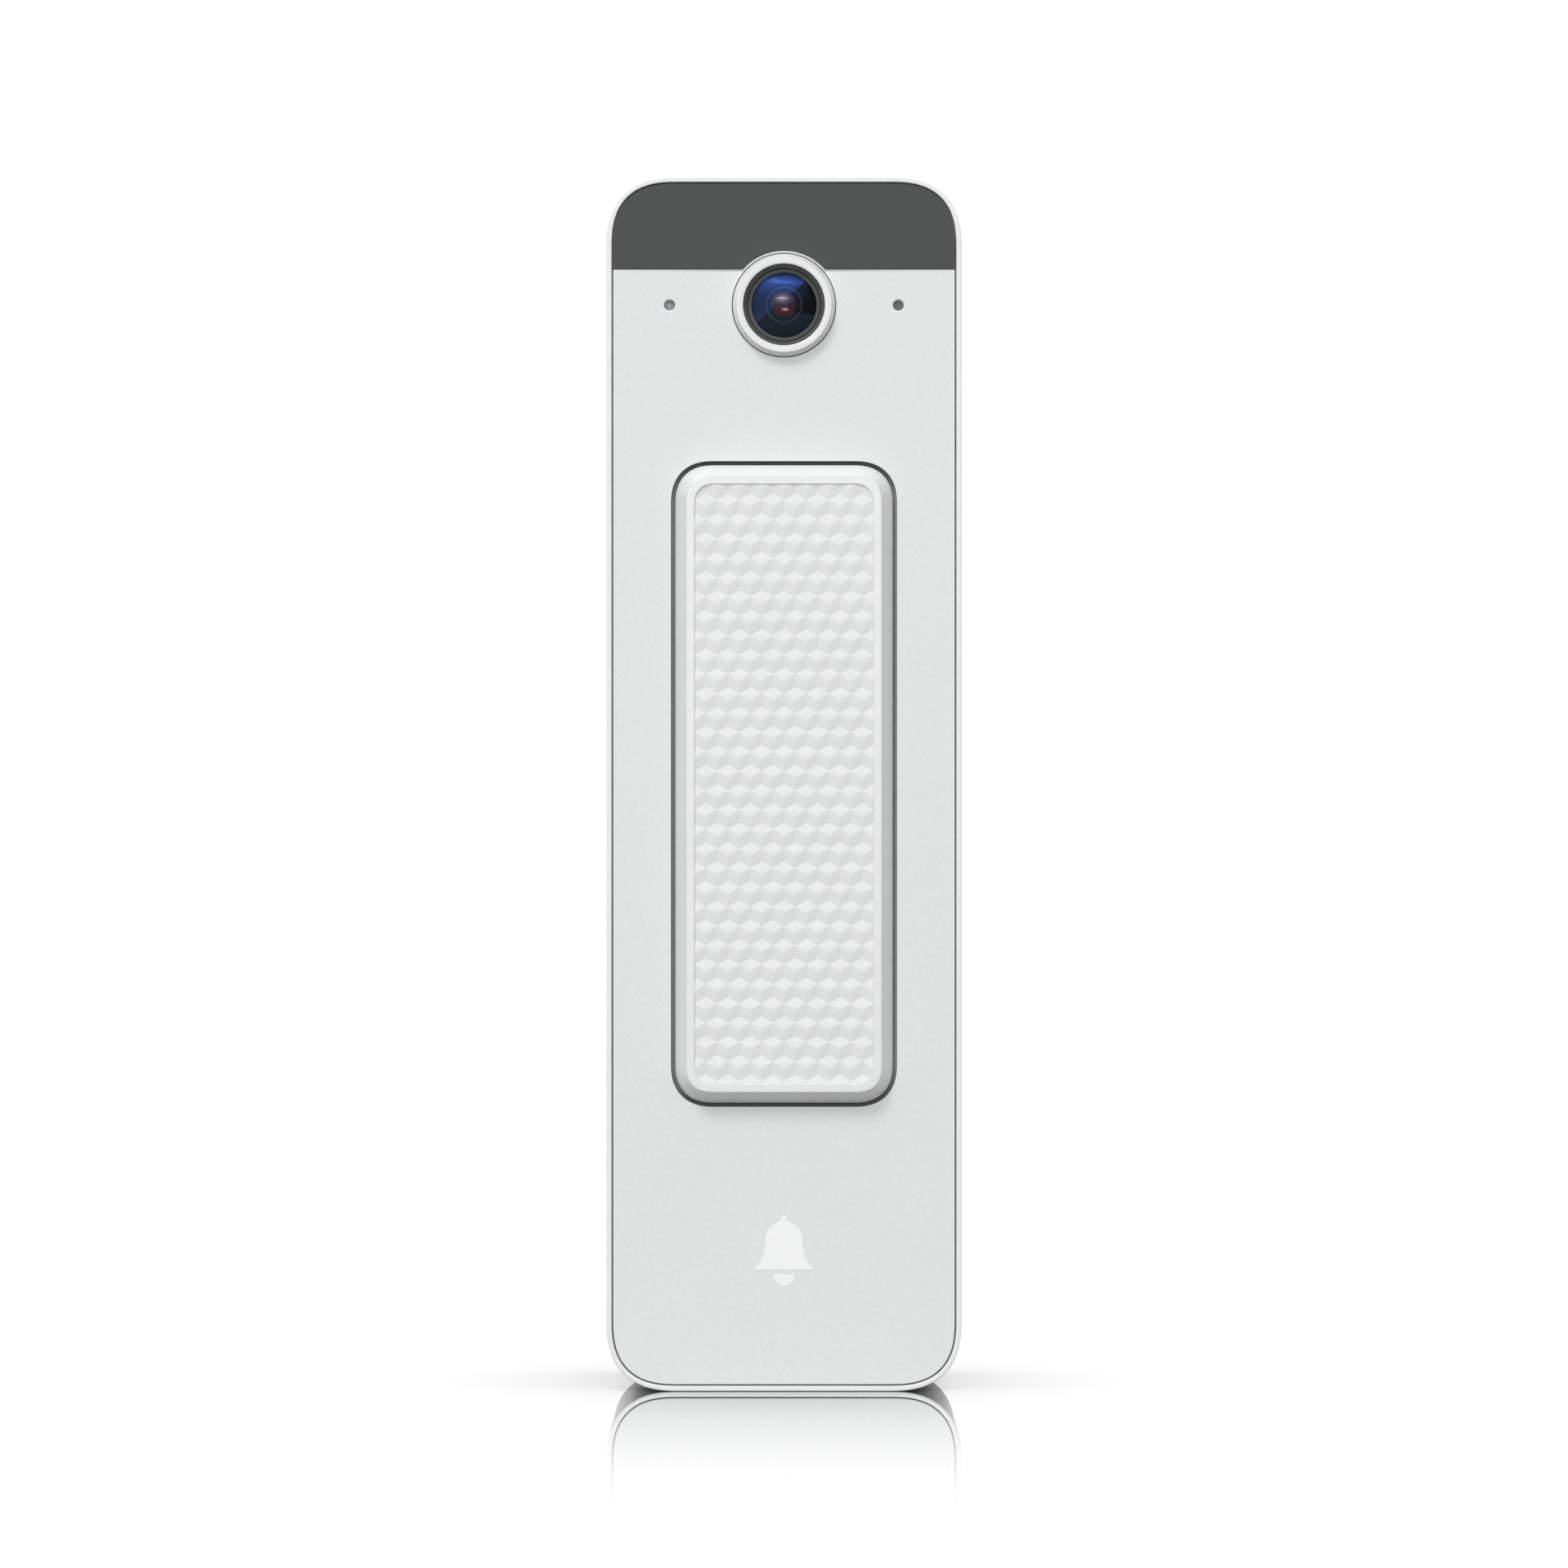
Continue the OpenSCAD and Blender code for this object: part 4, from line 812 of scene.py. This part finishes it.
def housing_cuts():
    """Jack opening, post bores, reset hole, sound slots and the security screw's hole."""
    solid = Solid()
    add_box(solid, (-8.15, 8.15), (WELL_Z[1] - 0.1, WELL_Z[1] + 2), (INNER_FLOOR_D + 0.05, 19))
    insert_r, insert_low, screw_r, screw_low, past_d = 1.5, 16.4, 0.9, 5.4, 23
    chassis_x, chassis_z = CHASSIS_POST
    bores = [(chassis_x, chassis_z, insert_r, insert_low),
             (chassis_x, -chassis_z, insert_r, insert_low),
             (*BOARD_POST, screw_r, screw_low), (*BOARD_LOW_POST, screw_r, screw_low),
             (*UPPER_POST, screw_r, 11.6), (*CAMERA_POST, screw_r, screw_low)]
    for x, z, r, low in bores:
        for side in (-1, 1):
            solid.prism(circle(side * x, z, r, 24), low, past_d)
    reset = node_span("reset_plunger")
    solid.prism(circle(middle_of(reset.x), middle_of(reset.z), 1.65, 48), 4, 7)
    mouth_z = -BODY_HH
    for x in SOUND_SLOTS:
        rings = [(0.25, mouth_z - 0.2), (0.25, mouth_z), (0, mouth_z + 0.25), (0, mouth_z + 3)]
        slot = stadium(x, 9.3, 18.7, 0.7)
        bottom_cut(solid, slot, rings)
    lock = circle(0, LOCK_D, 1.45, 48)
    bottom_cut(solid, lock, [(0.85, mouth_z - 0.2), (0.85, mouth_z), (0.7, mouth_z + 0.15),
                             (0.7, mouth_z + 1.2), (0, mouth_z + 1.21), (0, mouth_z + 3)])
    return solid.object("housing_cuts")


def bottom_cut(solid, points, rings):
    """Cutter through the bottom wall from an outline in X and depth, and (growth, z) rings."""
    lofted = [solid.ring_xyz([(x, -d, z) for x, d in grown(points, g)]) for g, z in rings]
    solid.loft(lofted)
    solid.cap(lofted[0])
    solid.cap(lofted[-1])


def make_housing():
    solid = Solid()
    housing_shell(solid)
    housing = solid.object("housing")
    combine(housing, housing_ribs(), "UNION")
    combine(housing, housing_cuts(), "DIFFERENCE")
    place(housing, "housing", LOOKS["housing_white"], ["rear_housing"])


# ---- Panel, window and mark ----

PANEL_HW = PANEL.x[1]
PANEL_REACH = CORNER_REACH - (BODY_HW - PANEL_HW)
JOINT_Z = WINDOW_Z[0] - 0.06
EDGE_R = 0.07


def lower_outline():
    """The panel: straight top edge with the camera's collar standing above it."""
    lower = [p for p in soft_rect(PANEL_HW, -PANEL.z[0], PANEL_REACH, PANEL_POWER)
             if p[1] < 0]
    rise = JOINT_Z - CAMERA_Z
    angle = math.asin(rise / COLLAR_R)
    collar = arc(0, CAMERA_Z, COLLAR_R, angle, math.pi - angle, 72)
    return [(PANEL_HW, JOINT_Z)] + collar + [(-PANEL_HW, JOINT_Z)] + lower


def upper_outline():
    """The window: the body's rounded top with a notch for the collar."""
    upper = [p for p in soft_rect(PANEL_HW, WINDOW_Z[1], PANEL_REACH, PANEL_POWER) if p[1] > 0]
    r = COLLAR_R + 0.06
    rise = WINDOW_Z[0] - CAMERA_Z
    angle = math.asin(rise / r)
    notch = arc(0, CAMERA_Z, r, math.pi - angle, angle, 72)
    return upper + [(-PANEL_HW, WINDOW_Z[0])] + notch + [(PANEL_HW, WINDOW_Z[0])]


def edge_rings(radius, back=PANEL_BACK_D, face=FACE_D):
    """Rings of a plate's outer edge, rounded at the front."""
    return rounded([(0.1, back, 0), (0, back + 0.1, 0), (0, face, radius),
                    (radius + 0.1, face, 0)])


def hole_rings(radius, back=PANEL_BACK_D, face=FACE_D):
    """Rings of a plate's hole, rounded at the front."""
    return rounded([(0, back, 0), (0, face, radius), (radius + 0.1, face, 0)])


def make_panel():
    solid = Solid()
    button_hole = soft_rect(14.0, 40.0, 5.33, BUTTON_POWER, 28)
    bezel_hole = circle(0, CAMERA_Z, BEZEL_HOLE_R, 160)
    holes = [(button_hole, hole_rings(0.03)), (bezel_hole, hole_rings(0.03))]
    holes += [(circle(side * HOLE_X, CAMERA_Z, 0.67, 48), hole_rings(0.14)) for side in (-1, 1)]
    solid.plate(lower_outline(), edge_rings(EDGE_R), holes)
    panel = solid.object("front_panel_shell")
    place(panel, "housing", LOOKS["panel_light_grey"], ["front_panel"])


def make_window():
    solid = Solid()
    solid.plate(upper_outline(), edge_rings(0.06))
    window = solid.object("infrared_window")
    place(window, "housing", LOOKS["window_smoke"], ["ir_window"])


MARK_Z = -57.8


def bell_outlines():
    """Dome with flared mouth, and the clapper under it."""
    dome_r, mouth_hw, mouth_z, dome_z = 2.3, 3.7, -2.4, 1.3
    stem_hw, stem_top = 0.35, 4.2
    steps = 14
    flare = [(dome_r + (mouth_hw - dome_r) * (i / steps) ** 2.6,
              dome_z + (mouth_z - dome_z) * i / steps) for i in range(steps, -1, -1)]
    open_angle = math.acos(stem_hw / dome_r)
    right_dome = arc(0, dome_z, dome_r, 0, open_angle, 14)[1:]
    right = flare + right_dome + [(stem_hw, stem_top)]
    left = [(-x, z) for x, z in reversed(right)]
    clapper_r, clapper_z = 1.3, mouth_z - 0.7
    dip = math.asin(0.1 / clapper_r)
    clapper = arc(0, clapper_z, clapper_r, math.pi - dip, 2 * math.pi + dip, 24)
    return [moved(right + left, 0, MARK_Z), moved(clapper, 0, MARK_Z)]


def make_mark():
    """Generic bell pictogram, a thin glossy foil on the panel."""
    solid = Solid()
    foil_t = 0.03
    for points in bell_outlines():
        solid.plate(points, [(0, FACE_D), (0, FACE_D + foil_t / 2), (0.02, FACE_D + foil_t)])
    mark = solid.object("bell_mark")
    place(mark, "housing", LOOKS["mark_white"], ["panel_mark"])


# ---- Camera ----

def make_bezel():
    """White ring with a bevel outside and a soft edge towards the lens."""
    front = BEZEL_D[1]
    flange_top = BEZEL_D[0] + 1.1
    outer, bevel, inner, flange = 6.34, 0.47, BEZEL_BORE_R, 7.3
    solid = Solid()
    profile = rounded([(inner, BEZEL_D[0], 0), (flange, BEZEL_D[0], 0), (flange, flange_top, 0),
                       (outer, flange_top, 0), (outer, front - 0.95, 0.04),
                       (outer - bevel, front, 0.03), (inner, front, 0.14),
                       (inner, BEZEL_D[0], 0)])
    lathe(solid, 0, CAMERA_Z, profile[:-1], 192)
    bezel = solid.object("bezel_ring")
    place(bezel, "housing", LOOKS["bezel_white"], ["lens_bezel"], 25)


def make_barrel():
    """Stepped black tube round the lens."""
    back = node_span("lens_barrel").d[0]
    face = FACE_D + 0.5
    throat_r, bore_r, wall_r, rim_r, step_d = 2.55, 4.3, 4.55, 4.98, 19.5
    solid = Solid()
    profile = rounded([
        (throat_r, back, 0), (wall_r, back, 0), (wall_r, step_d, 0), (rim_r, step_d, 0),
        (rim_r, face, 0.03), (4.87, face, 0.02), (4.86, face - 0.3, 0), (4.8, face - 0.3, 0),
        (4.79, face - 0.1, 0.02), (4.63, face - 0.2, 0.03), (4.6, face - 0.9, 0),
        (wall_r, face - 0.9, 0), (wall_r, LENS_SHELF_D, 0), (bore_r, LENS_SHELF_D, 0),
        (bore_r, LENS_SEAT_D, 0), (throat_r, LENS_SEAT_D, 0), (throat_r, back, 0)], 3)
    lathe(solid, 0, CAMERA_Z, profile[:-1], 160)
    barrel = solid.object("barrel_tube")
    place(barrel, "housing", LOOKS["barrel_black"], ["lens_barrel"], 30)


def make_retainer():
    """Ring that holds the front lens on its shelf."""
    low, inner, outer = LENS_SHELF_D, 4.02, 4.5
    solid = Solid()
    profile = rounded([(inner, low, 0), (outer, low, 0), (outer, low + 0.5, 0.04),
                       (4.06, low + 0.6, 0.02), (inner, low + 0.52, 0), (inner, low, 0)], 3)
    lathe(solid, 0, CAMERA_Z, profile[:-1], 160)
    ring = solid.object("retaining_ring")
    look = moulded("retainer_grey", srgb(74, 75, 75), 0.55, 0.2, 0.003)
    place(ring, "housing", look, ["lens_retainer"], 30)


def lens_coordinates(look):
    """Position on the camera's face as (u, v) from -1 to 1 across the front lens."""
    separate = look.node("ShaderNodeSeparateXYZ", {0: look.coords})
    scale = 1 / (LENS_R * MM)
    u = look.math("MULTIPLY", separate.outputs["X"], scale)
    height = look.math("SUBTRACT", separate.outputs["Z"], CAMERA_Z * MM)
    v = look.math("MULTIPLY", height, scale)
    return u, v


def spot(look, u, v, centre, size, power=2.0):
    """Soft spot: 1 in its centre, falling off over its two half sizes."""
    du = look.math("DIVIDE", look.math("SUBTRACT", u, centre[0]), size[0])
    dv = look.math("DIVIDE", look.math("SUBTRACT", v, centre[1]), size[1])
    du = look.math("POWER", look.math("ABSOLUTE", du), power)
    dv = look.math("POWER", look.math("ABSOLUTE", dv), power)
    total = look.math("ADD", du, dv)
    return look.math("POWER", math.e, look.math("MULTIPLY", total, -1.0))


def ramp(look, value, stops):
    """Colour that runs through (position, colour) stops as the value goes from 0 to 1."""
    node = look.node("ShaderNodeValToRGB", {"Fac": value})
    elements = node.color_ramp.elements
    while len(elements) < len(stops):
        elements.new(0.5)
    for element, (position, colour) in zip(elements, stops):
        element.position = position
        element.color = tuple(colour) + (1,)
    return node.outputs[0]


def between(look, value, low, high):
    """0 below the low value, 1 above the high one."""
    return look.node("ShaderNodeMapRange", {"Value": value, "From Min": low,
                                            "From Max": high}).outputs[0]


def lens_painted_reflection():
    """Front lens with painted reflections: a blue reflection with a painted highlight band at its
    upper left, dark at the lower right, red inside.
    """
    look = Look("lens_painted_reflection", (0.02, 0.03, 0.08), 0.06, Specular_IOR_Level=0.03)
    u, v = lens_coordinates(look)
    level = between(look, v, -1.0, 1.0)
    # Painted reflection: blue, graded by height, on the upper left of a diagonal, dimmer towards
    # the upper right.
    blue = ramp(look, level, [(0.2, srgb(54, 70, 95)), (0.42, srgb(37, 49, 79)),
                              (0.66, srgb(37, 52, 90)), (0.8, srgb(46, 68, 122)),
                              (0.9, srgb(52, 78, 142)), (1.0, srgb(34, 48, 80))])
    right = look.math("MULTIPLY", between(look, u, 0.15, 0.75), between(look, v, 0.3, 0.8))
    blue = blend_colour(look, look.math("MULTIPLY", right, 0.8), blue, srgb(28, 38, 60))
    tilted = look.math("ADD", v, look.math("MULTIPLY", u, 0.07))
    # Painted highlight: a soft bright patch and a thin bright band across the top of the blue
    # reflection.
    painted_glow = spot(look, u, tilted, (-0.1, 0.7), (0.75, 0.15))
    blue = blend_colour(look, look.math("MULTIPLY", painted_glow, 0.5), blue, srgb(56, 84, 160))
    painted_streak = spot(look, u, tilted, (-0.1, 0.71), (0.42, 0.04))
    blue = blend_colour(look, look.math("MULTIPLY", painted_streak, 0.9), blue, srgb(74, 112, 212))
    diagonal = look.math("SUBTRACT", v, look.math("ADD", look.math("MULTIPLY", u, 0.85), 0.163))
    near = between(look, diagonal, -0.75, 0.0)
    black = blend_colour(look, near, srgb(20, 21, 24), srgb(28, 35, 54))
    low = between(look, look.math("ADD", v, look.math("MULTIPLY", u, 0.1)), -0.24, -0.17)
    left = between(look, look.math("SUBTRACT", u, look.math("MULTIPLY", v, 0.15)), 0.66, 0.70)
    corner = blend_colour(look, left, black, srgb(18, 19, 21))
    dark = blend_colour(look, low, srgb(34, 41, 52), corner)
    colour = blend_colour(look, between(look, diagonal, -0.012, 0.012), dark, blue)
    radius = look.math("SQRT", look.math("ADD", look.math("MULTIPLY", u, u),
                                         look.math("MULTIPLY", v, v)))
    colour = blend_colour(look, inner_shine(look, radius), colour, srgb(150, 165, 190))
    colour = inner_picture(look, u, v, radius, colour)
    look.links.new(colour, look.bsdf.inputs["Base Color"])
    return look.material


def inner_shine(look, radius):
    """Painted highlight: thin light circle on the edge of a lens deeper in."""
    off = look.math("ABSOLUTE", look.math("SUBTRACT", radius, 0.543))
    return look.math("MULTIPLY", between(look, off, 0.018, 0.008), 0.14)


def inner_picture(look, u, v, radius, colour):
    """Small inner lens with its red tinge and two painted highlights, each in a soft painted
    halo.
    """
    disc = between(look, radius, 0.39, 0.32)
    tint = blend_colour(look, between(look, v, 0.2, -0.05), srgb(64, 50, 74), srgb(60, 38, 46))
    colour = blend_colour(look, look.math("MULTIPLY", disc, 0.9), colour, tint)
    # Painted highlights: a white one in a pale halo at the top, a pink one in a red halo below.
    for centre, size, power, paint in [
            ((-0.045, 0.2), (0.19, 0.12), 0.85, srgb(132, 126, 148)),
            ((-0.06, 0.205), (0.14, 0.028), 0.85, srgb(196, 194, 208)),
            ((0.02, -0.18), (0.17, 0.1), 0.6, srgb(104, 50, 58)),
            ((0.035, -0.145), (0.075, 0.03), 0.95, srgb(212, 186, 190))]:
        share = look.math("MULTIPLY", spot(look, u, v, centre, size), power)
        colour = blend_colour(look, share, colour, paint)
    return colour


def make_lenses():
    """Front lens with painted reflections, and the two smaller ones behind it."""
    seat = LENS_SEAT_D
    apex = node_span("front_lens").d[1]
    edge_r, edge_d = LENS_R + 0.28, seat + 1.48
    solid = Solid()
    dome = cap_profile(LENS_R, 1, apex)
    rear = cap_profile(2.2, 1, seat + 1)
    lathe(solid, 0, CAMERA_Z, [(edge_r, seat), (edge_r, edge_d), (LENS_R, edge_d)]
          + dome + list(reversed(rear)))
    lens = solid.object("front_lens_glass")
    place(lens, "housing", lens_painted_reflection(), ["front_lens"])
    inner_r = 2.5
    solid = Solid()
    lathe(solid, 0, CAMERA_Z, cap_profile(inner_r, 0.9, seat - 0.6)
          + [(0, seat - 2.6), (inner_r, seat - 2.3)], 96)
    lathe(solid, 0, CAMERA_Z, cap_profile(inner_r, 0.7, seat - 6)
          + [(0, seat - 8.2), (inner_r, seat - 8)], 64)
    inner = solid.object("inner_lens_glass")
    place(inner, "housing", LOOKS["lens_glass"], ["inner_lenses"])


# ---- Button ----

BUTTON_REACH = 4.8
COVER_HW = 11.05
COVER_HH = 37.05
COVER_GAP = 0.01
COVER_TOP_D = BUTTON.d[1] - 0.05
TEXTURE_REACH = 2.54


def make_seals():
    """Foam round the panel's edge and a lip round the button, low in its gap."""
    solid = Solid()
    outer = body_outline(BODY_HW - PANEL_HW, PANEL_POWER)
    inner = body_outline(WALL_T + 0.05)
    edge = [(0, LEDGE_D), (0, PANEL_BACK_D)]
    solid.plate(outer, edge, [(inner, edge)])
    lip_low, lip_top = PANEL_BACK_D - 0.3, PANEL_BACK_D + 0.6
    outer = soft_rect(13.97, 39.97, 5.3, BUTTON_POWER, 28)
    inner = soft_rect(13.55, 39.55, 4.88, BUTTON_POWER, 28)
    edge = [(0, lip_low), (0, lip_top)]
    solid.plate(outer, edge, [(inner, edge)])
    seal = solid.object("panel_seals")
    place(seal, "housing", LOOKS["grey_foam"], ["panel_gasket"])


def make_button_frame():
    """Bevelled ring whose slope starts just under the panel's face."""
    solid = Solid()
    hw, hh = BUTTON.x[1], BUTTON.z[1]
    low, top = BUTTON.d
    bevel_w = 1.42
    outer = soft_rect(hw, hh, BUTTON_REACH, BUTTON_POWER, 28)
    start = FACE_D - 0.1
    rings = rounded([(0.1, low, 0), (0, low + 0.1, 0), (0, start, 0.08), (bevel_w, top, 0.12),
                     (bevel_w + 0.3, top, 0)])
    inner = soft_rect(COVER_HW + COVER_GAP, COVER_HH + COVER_GAP, TEXTURE_REACH, BUTTON_POWER, 28)
    step = COVER_BACK_D
    inner_rings = rounded([(0.5, low, 0), (0.5, step, 0), (0, step, 0), (0, top, 0.05),
                           (0.15, top, 0)])
    solid.plate(outer, rings, [(inner, inner_rings)])
    ring = solid.object("button_ring")
    place(ring, "button", LOOKS["button_white"], ["button_frame"])


CUBE_PITCH = 2 * COVER_HW / 8
CUBE_R = CUBE_PITCH / math.sqrt(3)
RELIEF = 0.22
FIRST_ROW_Z = 35.1
CUBE_ROWS = range(-1, 33)
CUBE_COLUMNS = range(-5, 6)
FACE_CUTS = 5


def cube_height(x, z):
    """Height of one cube corner about its centre, its three faces meeting in a soft ridge."""
    planes = [1 - (x * math.cos(a) + z * math.sin(a)) / CUBE_R
              for a in (math.radians(90), math.radians(210), math.radians(330))]
    sharp = 14.0
    return -math.log(sum(math.exp(-sharp * p) for p in planes)) / sharp * RELIEF


def relief_face(solid, grid, centre, pa, pb, top_d):
    """One rhombic face of a cube as a fine grid of quads that shares its edges' vertices."""
    def vertex(x, z):
        depth = top_d - RELIEF + cube_height(x, z)
        x, z = centre[0] + x, centre[1] + z
        key = (round(x, 4), round(z, 4), round(depth, 3))
        if key not in grid:
            grid[key] = solid.bm.verts.new((x, -depth, z))
        return grid[key]

    cut = FACE_CUTS
    lines = [[vertex((pa[0] * i + pb[0] * j) / cut, (pa[1] * i + pb[1] * j) / cut)
              for j in range(cut + 1)] for i in range(cut + 1)]
    for near, far in zip(lines, lines[1:]):
        for j in range(cut):
            solid.bm.faces.new((near[j], far[j], far[j + 1], near[j + 1]))


def relief_surface(solid, top_d):
    """Rows of cube corners, as a block with a relief front, wider than the cover."""
    grid = {}
    angles = [math.radians(a) for a in range(30, 390, 60)]
    corners = [(CUBE_R * math.cos(a), CUBE_R * math.sin(a)) for a in angles]
    faces = [(0, 2), (2, 4), (4, 0)]
    for row in CUBE_ROWS:
        centre_z = FIRST_ROW_Z - CUBE_R / 2 - row * CUBE_R * 1.5
        shift = 0.5 if row % 2 == 0 else 0
        for column in CUBE_COLUMNS:
            centre = ((column + shift) * CUBE_PITCH, centre_z)
            for a, b in faces:
                relief_face(solid, grid, centre, corners[a], corners[b], top_d)
    edges = [e for e in solid.bm.edges if len(e.link_faces) == 1]
    result = bmesh.ops.extrude_edge_only(solid.bm, edges=edges)
    rim = [v for v in result["geom"] if isinstance(v, bmesh.types.BMVert)]
    for v in rim:
        v.co.y = -COVER_BACK_D + 1.0
    bmesh.ops.triangle_fill(solid.bm, use_beauty=True, edges=[
        e for e in result["geom"] if isinstance(e, bmesh.types.BMEdge)])


def make_button_cover():
    """Milky cover with a low relief of cube corners, cut to the frame's opening."""
    solid = Solid()
    relief_surface(solid, COVER_TOP_D)
    cover = solid.object("button_cover")
    prism = Solid()
    outline = soft_rect(COVER_HW, COVER_HH, TEXTURE_REACH, BUTTON_POWER, 28)
    prism.prism(outline, COVER_BACK_D, COVER_TOP_D + 2)
    combine(cover, prism.object("cover_prism"), "INTERSECT")
    place(cover, "button", LOOKS["button_milk"], ["button_lens"], 9)


# ---- Wall bracket ----

BRACKET_T = 1.6
SCREW_SLOT_Z = 66


def bracket_plate():
    """Plate with its screw slots, two weight-saving slots and the cable opening."""
    solid = Solid()
    t = BRACKET_T
    plate = node_span("wall_bracket")
    outline = soft_rect(plate.x[1], plate.z[1], 6.4, CORNER_POWER)
    edge = [(0.25, 0), (0.1, 0.05), (0, 0.2), (0, t - 0.2), (0.1, t - 0.05), (0.25, t)]
    hole = [(0.2, 0), (0.06, 0.06), (0, 0.2), (0, t - 0.2), (0.06, t - 0.06), (0.2, t)]
    holes = [(stadium(0, z - 4, z + 4, 2.2, 16), hole) for z in (-SCREW_SLOT_Z, SCREW_SLOT_Z)]
    holes += [(moved(soft_rect(3.4, 26, 3, BUTTON_POWER, 10), HOOK_X * side, 12), hole)
              for side in (-1, 1)]
    holes.append((moved(soft_rect(9, 9.5, 2.5, BUTTON_POWER, 10), 0, -46.5), hole))
    solid.plate(outline, edge, holes)
    return solid.object("bracket_plate")


def bracket_hooks():
    """Two hooks that carry the body, and the threaded tab at the bottom."""
    solid = Solid()
    root, tip = BRACKET_T / 2, BRACKET_T + 2.8
    for side in (-1, 1):
        x = (HOOK_X * side - 1.5, HOOK_X * side + 1.5)
        add_box(solid, x, (58, 60), (root, tip))
        add_box(solid, x, (59.9, 63), (BRACKET_T + 1.8, BRACKET_T + 2.79))
    add_box(solid, (-5, 5), (-72.6, -70.6), (root, 4.8))
    return solid.object("bracket_hooks")


def make_bracket():
    bracket = bracket_plate()
    combine(bracket, bracket_hooks(), "UNION")
    cuts = Solid()
    lock = circle(0, LOCK_D, 1.3, 48)
    bottom_cut(cuts, lock, [(0, -74), (0, -69)])
    combine(bracket, cuts.object("bracket_thread"), "DIFFERENCE")
    place(bracket, "housing", LOOKS["bracket_paint"], ["wall_bracket"])


add_camera()
add_light()
add_floor()
dress_cad_nodes()
make_housing()
make_panel()
make_window()
make_mark()
make_bezel()
make_barrel()
make_retainer()
make_lenses()
make_seals()
make_button_frame()
make_button_cover()
make_bracket()
bpy.context.scene.view_settings.view_transform = "Standard"
